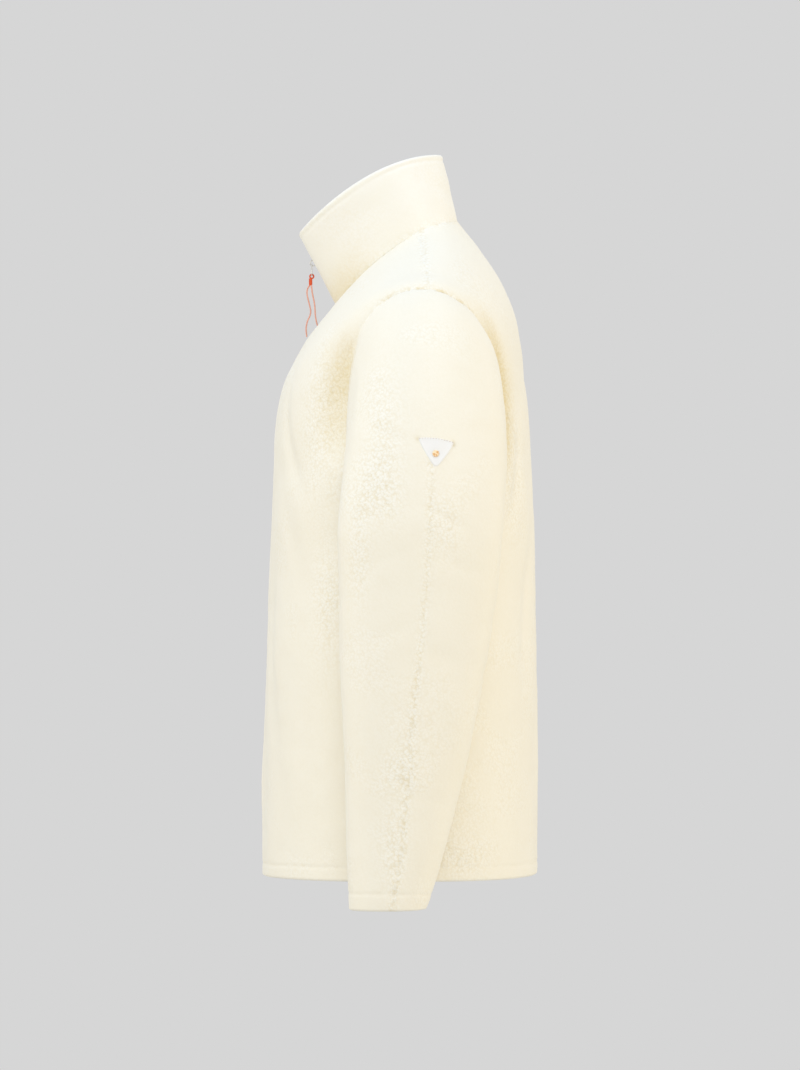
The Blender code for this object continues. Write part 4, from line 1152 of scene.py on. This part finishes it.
# %% [markdown]
# ## Slider, box and pull
#
# The slider is die-cast: two plates joined by a wedge at its top, with rims that turn in over the teeth,
# and a bail on its face. A wire pull hangs in the bail, and a coral cord is looped through it, pressed
# into a short moulded sheath, and left with two free ends. The box at the hem holds the zip's foot.

# %% Frames on the zip


def zip_frame(table, place, up_step):
    """A 4 by 4 frame at a ring: across, up along the zip and out, from two points of the ring's front."""
    here = ring_point(table, np.array(place, float), 0.0, 0.0)
    up = unit(ring_point(table, np.array(place + up_step), 0.0, 0.0) - here)
    out = np.array([0, -up[2], up[1]])
    return frame_of(np.cross(up, out), up, out, here)


def plate(shape, outline, low, high, bevel, segments=3):
    """Adds a flat plate to a bmesh: the outline raised from low to high, its edges rounded, all of it
    in millimetres."""
    before = set(shape.verts)
    bottom = [shape.verts.new((x * MM, y * MM, low * MM)) for x, y in outline]
    face = shape.faces.new(bottom)
    raised = bmesh.ops.extrude_face_region(shape, geom=[face])
    top = [item for item in raised["geom"] if isinstance(item, bmesh.types.BMVert)]
    bmesh.ops.translate(shape, vec=(0, 0, (high - low) * MM), verts=top)
    own = {vertex for vertex in shape.verts if vertex not in before}
    edges = [edge for edge in shape.edges if all(vertex in own for vertex in edge.verts)]
    rounding = {"segments": segments, "profile": 0.5, "affect": "EDGES", "clamp_overlap": True}
    bmesh.ops.bevel(shape, geom=edges, offset=bevel * MM, **rounding)


def tube(shape, rings, closed=False):
    """Adds a tube to a bmesh: rings of points joined in order, closed on itself or capped."""
    made = [[shape.verts.new(place) for place in ring] for ring in rings.tolist()]
    sides = len(made[0])
    for row in range(len(made) - (not closed)):
        here, after = made[row], made[(row + 1) % len(made)]
        for k in range(sides):
            shape.faces.new((here[k], here[(k + 1) % sides], after[(k + 1) % sides], after[k]))
    if not closed:
        shape.faces.new(made[0][::-1])
        shape.faces.new(made[-1])


def wire(shape, points, radius, closed=False, sides=12):
    """Adds a round wire to a bmesh: a ring of sides points square to the line at each of its points."""
    ahead = np.roll(points, -1, axis=0) if closed else np.concatenate([points[1:], points[-1:]])
    behind = np.roll(points, 1, axis=0) if closed else np.concatenate([points[:1], points[:-1]])
    along = unit(ahead - behind)
    side = unit(np.cross(along, np.array([0.31, 0.22, 0.92])))
    other = np.cross(along, side)
    circle = oval(sides, radius, radius, 1, 1)
    tube(shape, points[:, None] + side[:, None] * circle[:, :1] + other[:, None] * circle[:, 1:], closed)


def from_bmesh(name, shape, frame_matrix=None):
    """A smooth object from a bmesh, moved into a frame first, with its faces turned outwards."""
    bmesh.ops.recalc_face_normals(shape, faces=shape.faces)
    mesh = bpy.data.meshes.new(name)
    shape.to_mesh(mesh)
    shape.free()
    if frame_matrix is not None:
        mesh.transform(frame_matrix)
    smooth_shaded(mesh, 40)
    return add_object(name, mesh)


# %% Slider and box
SLIDER_HALF, SLIDER_HEIGHT, SLIDER_PLATE = 3.8, 12.0, 1.4
# Where the two plates face the teeth and the tapes, out from the cloth, in millimetres
FRONT_FACE = (-COLLAR_CLOTH + TEETH_DEPTH + SEAM_GAP) / MM
BACK_FACE = (-COLLAR_CLOTH - TAPE_THICK - 2 * SEAM_GAP) / MM
BAIL_HALF, BAIL_RISE, BAIL_WIRE = 3.4, 6.1, 0.5
# The slider's smaller forms, across and up the zip in millimetres
WEDGE = ((-0.8, 1.6), (0.8, 1.6), (0.8, 4.6), (0.4, 5.4), (-0.4, 5.4), (-0.8, 4.6))
RIM = ((3.05, -5.0), (3.72, -5.0), (3.78, 4.2), (3.35, 4.6), (3.1, 3.0))
RIDGE = ((-2.2, -5.2), (2.2, -5.2), (1.6, -4.4), (-1.6, -4.4))
slider_outline = oval(48, SLIDER_HALF, SLIDER_HEIGHT / 2, 0.42, 0.5)
# Wider at the top, where the two rows of teeth come apart
slider_outline[:, 0] *= 0.90 + 0.10 * np.sin(turns(48))


def add_slider():
    """Both plates, the wedge, the rims along their sides, the bail and the ridge below it."""
    shape = bmesh.new()
    outer_face = FRONT_FACE + SLIDER_PLATE
    plate(shape, slider_outline, FRONT_FACE, outer_face, 0.45)
    plate(shape, slider_outline, BACK_FACE - SLIDER_PLATE, BACK_FACE, 0.45)
    plate(shape, WEDGE, BACK_FACE - 0.2, FRONT_FACE + 0.2, 0.12, 1)
    for side in (-1, 1):
        rim = [(side * x, y) for x, y in RIM]
        plate(shape, rim, FRONT_FACE - 0.55, FRONT_FACE + 0.3, 0.15, 2)
        plate(shape, rim, BACK_FACE - 0.3, BACK_FACE + 0.35, 0.15, 2)
    turn = np.linspace(0, math.pi, 25)
    bail_out = outer_face - SLIDER_PLATE / 2 + BAIL_RISE * np.sin(turn)
    bail = np.stack([0 * turn, BAIL_HALF * np.cos(turn), bail_out], axis=1)
    wire(shape, bail * MM, BAIL_WIRE * MM)
    plate(shape, RIDGE, outer_face - 0.1, outer_face + 0.3, 0.1, 1)
    return from_bmesh("zip_slider_cast", shape, zip_frame(COLLAR_RINGS, SLIDER_PLACE, 0.05))


def add_box():
    """The box at the zip's foot, with two ribs down its face."""
    shape = bmesh.new()
    plate(shape, oval(40, 4.1, 5.0, 0.3, 0.35) + (0, 5.5), -5.0, -1.75, 0.5)
    for x in (-2.2, 2.2):
        rib = [(x - 1.1, 1.6), (x + 1.1, 1.6), (x + 1.1, 9.2), (x - 1.1, 9.2)]
        plate(shape, rib, -2.0, -1.6, 0.15, 2)
    return from_bmesh("zip_box_moulded", shape, zip_frame(TORSO_RINGS, HEM, -0.05))


slider, box = add_slider(), add_box()
print("Slider", len(slider.data.polygons), "faces, box", len(box.data.polygons), "faces")

# %% Pull, loop and cords
PIVOT_Y, PIVOT_Z = -0.1082, -0.0310
PULLER_LENGTH, PULLER_HALF_WIDTH, PULLER_WIRE = 12.0 * MM, 1.6 * MM, 0.45 * MM
CORD_RADIUS, CORD_LOOP_RADIUS = 0.75 * MM, 1.9 * MM
SHEATH_HALF, SHEATH_LENGTH, SHEATH_FORWARD, SHEATH_GROOVES = (1.5 * MM, 1.8 * MM), 7.2 * MM, 1.2 * MM, 3.5
CORD_ROUTES = {
    "cord_tail_front": (
        (-0.8, -110.3, -52.2), (-1.0, -112.0, -54.8), (-1.2, -113.0, -58.2), (-1.5, -112.7, -62.8),
        (-1.9, -111.2, -69.2), (-2.2, -109.7, -75.4), (-2.4, -109.4, -79.6), (-2.4, -110.4, -83.3),
        (-2.3, -112.4, -87.6), (-2.2, -113.6, -92.5), (-2.1, -113.9, -97.0), (-2.0, -113.5, -101.2),
        (-2.0, -113.2, -104.0),
    ),
    "cord_tail_back": (
        (0.8, -108.7, -52.1), (1.0, -108.2, -55.6), (1.2, -107.7, -60.0), (1.5, -106.6, -65.2),
        (1.7, -105.5, -71.0), (1.8, -105.0, -76.8), (1.8, -104.6, -82.8), (1.7, -103.6, -88.6),
        (1.6, -102.3, -93.4),
    ),
}


def smooth_line(points, count):
    """count points on the cubic curve through the given ones, at even steps of its length."""
    table = dict(enumerate(points.tolist()))
    curve = through(table, "xyz", np.linspace(0, len(points) - 1, 40 * len(points)))
    curve = np.stack([curve["x"], curve["y"], curve["z"]], axis=1)
    return read_off(curve, np.linspace(0, lengths(curve, 0)[-1], count))


def add_pull_wire():
    """The wire pull: a closed loop, squared at its ends."""
    half = PULLER_LENGTH / 2
    x, z = oval(72, PULLER_HALF_WIDTH, half, 0.5, 0.35).T
    shape = bmesh.new()
    loop = np.stack([x, np.full_like(x, PIVOT_Y), PIVOT_Z - half + z], axis=1)
    wire(shape, loop, PULLER_WIRE, closed=True)
    return from_bmesh("pull_wire", shape)


def add_cord_loop():
    """The cord's loop through the wire, and the sheath that holds its two runs together."""
    loop_z = PIVOT_Z - PULLER_LENGTH + PULLER_WIRE + SEAM_GAP + CORD_RADIUS - CORD_LOOP_RADIUS
    y, z = oval(48, CORD_LOOP_RADIUS, CORD_LOOP_RADIUS, 1, 1).T
    shape = bmesh.new()
    wire(shape, np.stack([0 * y, PIVOT_Y + y, loop_z + z], axis=1), CORD_RADIUS, closed=True)
    # the sheath: a squared oval, swollen in the middle, with shallow grooves round it
    level = np.linspace(0, 1, 23)[:, None]
    grooves = 0.5 + 0.5 * np.cos(2 * math.pi * SHEATH_GROOVES * level)
    swell = 1 - 0.16 * np.abs(2 * level - 1) ** 3 - 0.05 * grooves
    x, y = oval(32, *SHEATH_HALF, 0.6, 0.6).T
    z = loop_z - CORD_LOOP_RADIUS - SHEATH_LENGTH * level
    tube(shape, np.stack(np.broadcast_arrays(swell * x, PIVOT_Y - SHEATH_FORWARD + swell * y, z), axis=-1))
    return from_bmesh("cord_loop_sheath", shape)


def add_tail(name):
    """One free end of the cord, as a curve with a round bevel and a slightly melted tip."""
    line = smooth_line(np.array(CORD_ROUTES[name]) * MM, 60)
    curve = bpy.data.curves.new(name + "_braid", "CURVE")
    curve.dimensions = "3D"
    curve.bevel_depth = CORD_RADIUS
    curve.bevel_resolution = 6
    curve.use_fill_caps = True
    spline = curve.splines.new("POLY")
    spline.points.add(len(line) - 1)
    spline.points.foreach_set("co", np.column_stack([line, np.ones(len(line))]).ravel())
    radius = np.ones(len(line))
    radius[-3:] = (1.0, 0.9, 0.7)
    spline.points.foreach_set("radius", radius)
    spline.use_smooth = True
    return add_object(name + "_braid", curve), float(lengths(line, 0)[-1]), line[0].tolist()


pull_wire, cord_loop = add_pull_wire(), add_cord_loop()
tail_front, tail_front_length, tail_front_exit = add_tail("cord_tail_front")
tail_back, tail_back_length, tail_back_exit = add_tail("cord_tail_back")
print("Free ends of the cord:", round(tail_front_length, 4), "and", round(tail_back_length, 4), "metres")

# %% [markdown]
# ## The badge
#
# A small patch with its point down is sewn across the outer seam of the left sleeve. It is firm and
# smooth, thinner towards its point, with a plain orange dot and a row of stitches under its top edge. It
# is laid on the sleeve by solving for the places on the sleeve that have the right height and depth.

# %% Badge
BADGE_Y, BADGE_TOP_Z = 0.0148, -0.2085
BADGE_HEIGHT, BADGE_HALF_WIDTH, BADGE_RISE = 27.5 * MM, 17.0 * MM, 0.90 * MM
BADGE_TAPER = (0.90, 1.4)  # how much narrower it is at its point, and the power of the way down
BADGE_THINNER = 0.70  # the part of its rise that is gone at its point
BADGE_SAG = 2.1 * MM
DOT_BELOW, DOT_RADIUS, DOT_FORWARD = 15.2 * MM, 3.3 * MM, 0.4 * MM
STITCHES_BELOW, STITCHES_REACH = 0.9 * MM, 0.92
# From end to end of a stitch: place along it, half height and half depth, in millimetres
STITCH_STATIONS = (
    (-0.95, 0.05, 0.05), (-0.8, 0.26, 0.20), (0, 0.34, 0.28), (0.8, 0.26, 0.20), (0.95, 0.05, 0.05),
)


def on_sleeve(y, z):
    """Place and turn of the sleeve's outer points with the given y and z, by twelve Newton steps."""
    place, turn, step = np.full_like(y, 0.62), np.zeros_like(y), 1e-3
    for _ in range(12):
        here = sleeve(place, turn)
        by_place = (sleeve(place + step, turn) - here) / step
        by_turn = (sleeve(place, turn + step) - here) / step
        miss_y, miss_z = y - here[..., 1], z - here[..., 2]
        spread = by_place[..., 1] * by_turn[..., 2] - by_place[..., 2] * by_turn[..., 1]
        place = place + (miss_y * by_turn[..., 2] - miss_z * by_turn[..., 1]) / spread
        turn = turn + (miss_z * by_place[..., 1] - miss_y * by_place[..., 2]) / spread
    return place, turn


def badge_sag(across):
    """How far the top edge hangs below its highest point: its back corner more than its front one."""
    return BADGE_SAG * (across + across**2)


def above_sleeve(y, z, height):
    """Points that stand so far out of the sleeve's plain surface."""
    place, turn = on_sleeve(y, z)
    return sleeve(place, turn) + sleeve_direction(place, turn) * np.asarray(height)[..., None]


def add_badge():
    """The patch as a closed wall, with a low rim, and rounded down over its edge."""
    down, across = np.meshgrid(crowded(43, 0.6), 2 * crowded(43, 0.6) - 1, indexing="ij")
    half = BADGE_HALF_WIDTH * (1 - BADGE_TAPER[0] * down ** BADGE_TAPER[1])
    y = BADGE_Y + across * half
    z = BADGE_TOP_Z - BADGE_HEIGHT * down - badge_sag(across) * (1 - down)
    to_edge = np.minimum((1 - np.abs(across)) * half, np.minimum(down, 1 - down) * BADGE_HEIGHT)
    rim = 0.16 * MM * bell(to_edge - 1.6 * MM, 0.8 * MM)
    level = BADGE_RISE * (1 - BADGE_THINNER * down) + rim - 0.9 * rolled(to_edge, 1.3 * MM)
    level += 0.25 * MM * soft_noise(above_sleeve(y, z, 0 * y), 8 * MM, 17)
    outer, inner = above_sleeve(y, z, SEAM_GAP + level), above_sleeve(y, z, 0.1 * MM + 0 * y)
    return wall("sleeve_badge_patch", outer, inner)


def add_badge_dot():
    """The dot: a shallow dome of rings on the patch, laid on the sleeve as the patch is."""
    ring, turn = np.meshgrid(np.linspace(0, 1, 9), np.linspace(0, 2 * math.pi, 49), indexing="ij")
    y = BADGE_Y - DOT_FORWARD + DOT_RADIUS * ring * np.sin(turn)
    z = BADGE_TOP_Z - DOT_BELOW + DOT_RADIUS * ring * np.cos(turn)
    height = SEAM_GAP + 0.95 * MM + 0.30 * MM * (1 - ring**4) - 0.1 * MM * ring**8
    return new_mesh("sleeve_badge_dot", above_sleeve(y, z, height).reshape(-1, 3), grid_quads(9, 49))


def add_badge_stitches():
    """Thirteen short stitches in a row just under the patch's top edge."""
    across = np.linspace(-STITCHES_REACH, STITCHES_REACH, 13)
    y, z = BADGE_Y + across * BADGE_HALF_WIDTH, BADGE_TOP_Z - STITCHES_BELOW - badge_sag(across)
    cloth = above_sleeve(y, z, 0 * y)
    out = sleeve_direction(*on_sleeve(y, z))
    along = unit(np.gradient(cloth, axis=0))
    points, quads = swept(np.array(STITCH_STATIONS) * MM, oval(8, 1, 1, 1, 1))
    centres = cloth + out * (SEAM_GAP + 0.85 * MM)
    placed, faces = copied(points, quads, centres, along, unit(np.cross(out, along)), out)
    return new_mesh("sleeve_badge_stitches", placed, faces)


badge, badge_dot, badge_stitches = add_badge(), add_badge_dot(), add_badge_stitches()
badge_heights = [corner[2] for corner in badge.bound_box]
print("The badge stands", round(float(np.ptp(badge_heights)) / MM, 1), "mm high")

# %% [markdown]
# ## Materials
#
# The fleece is an undyed cream polyester: matt, with a little sheen from the fibre ends. Its colour is
# painted darker and warmer between the curls as painted shade, and in the folds, along the seams and low
# at the collar's front. The collar is the same cloth, brushed a little smoother, and painted a little
# whiter as a painted highlight where the top light falls. The tape is a plain weave, the teeth are
# moulded plastic, the slider is cast zinc with a dull plating, and the cord is a fine braid. Patterns are
# laid out in object coordinates, so that their sizes are real ones.

# %% Small helpers for node materials


def linear(code):
    """A colour from its sRGB hex code: the screen curve's power law undone for each channel."""
    values = np.array([int(code[k : k + 2], 16) for k in (1, 3, 5)]) / 255
    values = np.where(values <= 0.04045, values / 12.92, ((values + 0.055) / 1.055) ** 2.4)
    return (*values.tolist(), 1.0)


def give(tree, socket, value):
    """Links another socket into an input, or sets the input to a constant."""
    if isinstance(value, bpy.types.NodeSocket):
        tree.links.new(value, socket)
    else:
        socket.default_value = value


def add_node(tree, kind, inputs=(), **settings):
    """A node with its settings, whose inputs are given as constants or as sockets to link from."""
    node = tree.nodes.new(kind)
    for name, value in settings.items():
        setattr(node, name, value)
    for name, value in dict(inputs).items():
        give(tree, node.inputs[name], value)
    return node


def number(tree, operation, first, second=0.0, third=0.0):
    """The result socket of a math node."""
    inputs = {0: first, 1: second, 2: third}
    return add_node(tree, "ShaderNodeMath", inputs, operation=operation).outputs[0]


def scaled(tree, value, factor, shift):
    """The socket of a value times a factor, plus a shift."""
    return number(tree, "MULTIPLY_ADD", value, factor, shift)


def wave(tree, value, length):
    """The socket of a sine wave of the given length."""
    return number(tree, "SINE", number(tree, "MULTIPLY", value, 2 * math.pi / length))


def noise(tree, place, waves, detail=2.0, output="Fac"):
    """The socket of noise with so many waves to a millimetre."""
    inputs = {"Vector": place, "Scale": waves / MM, "Detail": detail}
    return add_node(tree, "ShaderNodeTexNoise", inputs).outputs[output]


def mixed(tree, share, first, second):
    """The colour between two, each a socket or a hex code, at a share."""
    first, second = (linear(code) if isinstance(code, str) else code for code in (first, second))
    inputs = {0: share, 6: first, 7: second}
    return add_node(tree, "ShaderNodeMix", inputs, data_type="RGBA").outputs[2]


def new_material(name):
    """A new material, its node tree and the socket of its object coordinates."""
    material = bpy.data.materials.new(name)
    material.use_nodes = True
    tree = material.node_tree
    return material, tree, add_node(tree, "ShaderNodeTexCoord").outputs["Object"]


def dress(material, colour, height, strength, distance, **values):
    """Gives a material its colour, the bump of a height, and the principled shader's other inputs, by
    their names with underscores for spaces."""
    tree = material.node_tree
    bump = {"Height": height, "Strength": strength, "Distance": distance}
    values |= {"Base_Color": colour, "Normal": add_node(tree, "ShaderNodeBump", bump).outputs[0]}
    for name, value in values.items():
        give(tree, tree.nodes["Principled BSDF"].inputs[name.replace("_", " ")], value)
    return material


# %% The fleece
# The colour of the shade painted into the folds, the seams, the badge's dents and the collar's low front
PAINTED_SHADE_COLOUR = "#E2CE9B"
CURL_WARP = 3.4 * MM
HALVES = (0.5, 0.5, 0.5)


def make_fleece(name, tip, deep, curl_size, height):
    """Curly pile: tufts warped by noise give the bump, and how deep a point lies sets a painted shade, from
    the tip colour to the darker, warmer deep colour, with a slow random tone over it. The curl attribute
    opens the curls, and the fold attribute paints shade into the folds and along the seams."""
    material, tree, place = new_material(name)
    curl = add_node(tree, "ShaderNodeAttribute", attribute_name="curl").outputs["Fac"]
    fold = add_node(tree, "ShaderNodeAttribute", attribute_name="fold").outputs["Fac"]
    twist = {0: noise(tree, place, 0.22, output="Color"), 1: HALVES}
    centred = add_node(tree, "ShaderNodeVectorMath", twist, operation="SUBTRACT").outputs[0]
    warp = {0: centred, 1: (CURL_WARP,) * 3, 2: place}
    moved = add_node(tree, "ShaderNodeVectorMath", warp, operation="MULTIPLY_ADD").outputs[0]
    curls = {"Vector": moved, "Scale": 1 / curl_size, "Smoothness": 0.25}
    curls = add_node(tree, "ShaderNodeTexVoronoi", curls, feature="SMOOTH_F1").outputs["Distance"]
    small = {"Vector": moved, "Scale": 2.3 / curl_size}
    small = add_node(tree, "ShaderNodeTexVoronoi", small, feature="F1").outputs["Distance"]
    low = scaled(tree, small, 0.35, number(tree, "MULTIPLY", curls, 0.75))
    depth = scaled(tree, noise(tree, place, 1.9, 3.0), 0.18, low)
    # Where the curls' valleys lie: the colour is painted darker and warmer there, as painted shade
    spread = {"Value": low, "From Min": 0.30, "From Max": 0.90, "To Min": 0.12, "To Max": 0.62}
    valley_shade = add_node(tree, "ShaderNodeMapRange", spread).outputs[0]
    reach = scaled(tree, curl, 2.05, 0.17)
    opened = scaled(tree, number(tree, "SUBTRACT", valley_shade, 0.37), reach, 0.25)
    # The share of the valleys' painted shade, with a slow random tone over it
    valley_shade_and_tone = scaled(tree, noise(tree, place, 0.018), 0.14, opened)
    # Painted shade in folds and seams: the fold attribute mixes in the shade colour, most in the valleys
    painted_shade_share = number(tree, "MULTIPLY", fold, scaled(tree, valley_shade, 0.5, 0.62))
    colour = mixed(tree, painted_shade_share, mixed(tree, valley_shade_and_tone, tip, deep), PAINTED_SHADE_COLOUR)
    sheen = {"Sheen_Weight": 0.22, "Sheen_Roughness": 0.5, "Sheen_Tint": linear("#FBFAF6")}
    raised, strength = number(tree, "SUBTRACT", 1.0, depth), scaled(tree, curl, 0.52, 0.05)
    return dress(material, colour, raised, strength, height, Roughness=0.95, Specular_IOR_Level=0.15, **sheen)


# Tip colour, and the colour of the shade painted between the curls
fleece = make_fleece("fleece_pile", "#F6F1E3", "#E9DDBF", 2.8 * MM, 1.3 * MM)
# The collar's copy: its colours are painted whiter, a painted highlight where the top light falls, and its
# bump is lower
collar_fleece_painted_highlight = make_fleece("collar_pile_painted_highlight", "#F8F5EC", "#EEE5CD", 2.7 * MM, 0.8 * MM)

# %% Tape, teeth, metal, cord and badge


def make_tape():
    """Plain weave: the product of two sine waves less than a millimetre long, and some fuzz."""
    material, tree, place = new_material("zip_tape_weave")
    parts = add_node(tree, "ShaderNodeSeparateXYZ", {0: place}).outputs
    weave = number(tree, "MULTIPLY", wave(tree, parts[0], 0.75 * MM), wave(tree, parts[2], 0.60 * MM))
    height = scaled(tree, weave, 0.5, noise(tree, place, 1.5))
    colour = mixed(tree, scaled(tree, weave, 0.22, 0.45), "#E3D9BF", "#F1EBDA")
    sheen = {"Sheen_Weight": 0.15, "Sheen_Roughness": 0.5}
    return dress(material, colour, height, 0.5, 0.15 * MM, Roughness=0.85, **sheen)


def make_moulded(name, code, darker, roughness, clouds=20, contrast=1):
    """Moulded plastic: a faint orange-peel bump, and colour clouds of the given size in millimetres."""
    material, tree, place = new_material(name)
    peel = noise(tree, place, 1.1)
    share = scaled(tree, noise(tree, place, 1 / clouds), contrast, 0.5 - 0.5 * contrast)
    gloss = scaled(tree, peel, 0.12, roughness - 0.06)
    return dress(material, mixed(tree, share, darker, code), peel, 0.2, 0.1 * MM, Roughness=gloss)


def make_metal():
    """Dull plated zinc: fine cast grain, with a polish that varies over a few millimetres."""
    material, tree, place = new_material("zip_metal_plated")
    wear = noise(tree, place, 0.35, 3.0)
    colour, gloss = mixed(tree, wear, "#CFCDC8", "#E6E5E1"), scaled(tree, wear, 0.2, 0.22)
    grain = noise(tree, place, 2.2, 3.0)
    return dress(material, colour, grain, 0.15, 0.08 * MM, Roughness=gloss, Metallic=1.0)


def make_cord(name, dark, light):
    """A fine braid: two crossed sets of slanted strands, as sine waves up and down the cord's height."""
    material, tree, place = new_material(name)
    parts = add_node(tree, "ShaderNodeSeparateXYZ", {0: place}).outputs
    slant = number(tree, "ADD", parts[0], parts[1])
    rising, falling = (
        wave(tree, number(tree, way, parts[2], slant), 1.1 * MM) for way in ("ADD", "SUBTRACT")
    )
    braid = number(tree, "MULTIPLY", rising, falling)
    height = scaled(tree, noise(tree, place, 2.5), 0.4, braid)
    colour = mixed(tree, scaled(tree, braid, 0.3, 0.5), dark, light)
    sheen = {"Sheen_Weight": 0.2, "Sheen_Roughness": 0.4}
    return dress(material, colour, height, 0.6, 0.16 * MM, Roughness=0.7, **sheen)


tape_weave, plated = make_tape(), make_metal()
cord_braid = make_cord("coral_cord_braid", "#E8957B", "#FBC9B6")
sheath_braid = make_cord("coral_sheath_braid", "#DB4A1E", "#F4693A")
teeth_plastic = make_moulded("zip_teeth_moulded", "#EFE8D6", "#E6DDC6", 0.42)
badge_patch = make_moulded("badge_patch", "#F2EFE9", "#EBE8E2", 0.8)
badge_orange = make_moulded("badge_dot_orange", "#FFE7BC", "#DA9A55", 0.6, clouds=1.8, contrast=5)
badge_thread = make_cord("badge_thread", "#CDB59B", "#E2D2BE")
print(len(bpy.data.materials), "materials")

# %% Finish and body of every piece
GARMENT_PIECES = [
    (front_left, fleece, "fleece", ["front_left"]),
    (front_right, fleece, "fleece", ["front_right"]),
    (back, fleece, "fleece", ["back"]),
    (collar_piece, collar_fleece_painted_highlight, "fleece", ["collar"]),
    (slider, plated, "zip_metal", ["zip_slider"]),
    (box, plated, "zip_metal", ["zip_box"]),
    (badge, badge_patch, "badge", ["sleeve_badge"]),
    (badge_dot, badge_orange, "badge", []),
    (badge_stitches, badge_thread, "badge", []),
]
for side, row, tape in zip(SIDES, teeth, tapes):
    GARMENT_PIECES.append((tape, tape_weave, "zip_tape", [f"zip_tape_{side}"]))
    GARMENT_PIECES.append((row, teeth_plastic, "zip_teeth", [f"zip_teeth_{side}"]))
for name, half in sleeve_halves.items():
    GARMENT_PIECES.append((half, fleece, "fleece", [name.removesuffix("_cloth")]))
PULL_PIECES = [
    (pull_wire, plated, "zip_metal", ["zip_puller"]),
    (cord_loop, sheath_braid, "coral_cord", ["cord_loop"]),
    (tail_front, cord_braid, "coral_cord", ["cord_tail_front"]),
    (tail_back, cord_braid, "coral_cord", ["cord_tail_back"]),
]
for body, pieces in (("garment", GARMENT_PIECES), ("pull_tab", PULL_PIECES)):
    for piece, material, slot, nodes in pieces:
        piece.data.materials.clear()
        piece.data.materials.append(material)
        if nodes:
            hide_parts(*nodes)
        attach(piece, body)
print(len(GARMENT_PIECES), "pieces on the garment and", len(PULL_PIECES), "on the pull")

# %% [markdown]
# ## The sleeve halves
#
# Each panel was flat before it was sewn and filled out. The cell below only reads which side each sleeve
# half lies on, and makes nothing from it.

# %% Sides of the sleeve halves
for name, half in sleeve_halves.items():
    side = "left" if "left" in name else "right"
print(4 + len(sleeve_halves), "sheets and 2 cords declared")

# %% [markdown]
# ## Studio
#
# The photograph shows the jacket's left side square on against an even grey, in soft light from above
# and from the front. An even world gives the grey and most of the light. Large soft lamps brighten the
# top, a little cool, and the front, a little warm.

# %% World, lamps, floor and camera
scene = bpy.context.scene
scene.view_settings.view_transform = "Standard"
world = bpy.data.worlds.new("studio_grey")
world.use_nodes = True
world.node_tree.nodes["Background"].inputs["Color"].default_value = linear("#D6D6D6")
scene.world = world


def add_lamp(name, place, target, size, power_watts, code):
    """A square soft lamp that shines from place to target."""
    lamp = bpy.data.lights.new(name, "AREA")
    lamp.size = size
    lamp.energy = power_watts
    lamp.color = linear(code)[:3]
    made = add_object(name, lamp)
    aim = unit(np.array(place, float) - np.array(target, float))
    side = unit(np.cross(np.array([0.0, 0.0, 1.0]), aim) + np.array([1e-6, 0, 0]))
    made.matrix_world = frame_of(side, np.cross(aim, side), aim, place)


add_lamp("top_lamp", (0.8, -0.3, 3.2), (0, 0, -0.2), 2.4, 56, "#AED0FF")
add_lamp("upper_lamp", (2.3, -0.4, 1.6), (0.1, 0, -0.1), 1.6, 4, "#B4D2FF")
add_lamp("front_lamp", (2.6, -4.2, 1.4), (0, 0, -0.35), 2.4, 74, "#FFFAEC")
add_lamp("side_lamp", (5.0, 0.6, -0.4), (0, 0, -0.4), 2.0, 19, "#FFF2DC")
add_lamp("back_lamp", (1.5, 4.8, 0.3), (0, 0, -0.4), 2.4, 80, "#FFF2D4")

FLOOR_LEVEL = -1.15
floor_corners = [(x, y, FLOOR_LEVEL) for x, y in ((-3.8, -3.5), (3.5, -3.5), (3.5, 3.5), (-3.8, 3.5))]
floor = new_mesh("floor", floor_corners, np.array([[0, 1, 2, 3]]))
floor.data.materials.append(make_moulded("floor_paint", "#DCDCDA", "#D6D6D4", 0.8))

CAMERA_AWAY, PHOTO_SPAN = 8.0, 1.07  # metres from the middle, and up the whole picture at the middle
camera_data = bpy.data.cameras.new("camera")
camera_data.lens = 36 * CAMERA_AWAY / PHOTO_SPAN
camera_data.clip_end = 100
camera_data.dof.use_dof = False
camera = add_object("camera", camera_data)
camera.location = (CAMERA_AWAY, -0.020, -0.302)
camera.rotation_euler = (math.radians(90), 0, math.radians(90))
scene.camera = camera
print("Camera looks along -X from", tuple(camera.location))
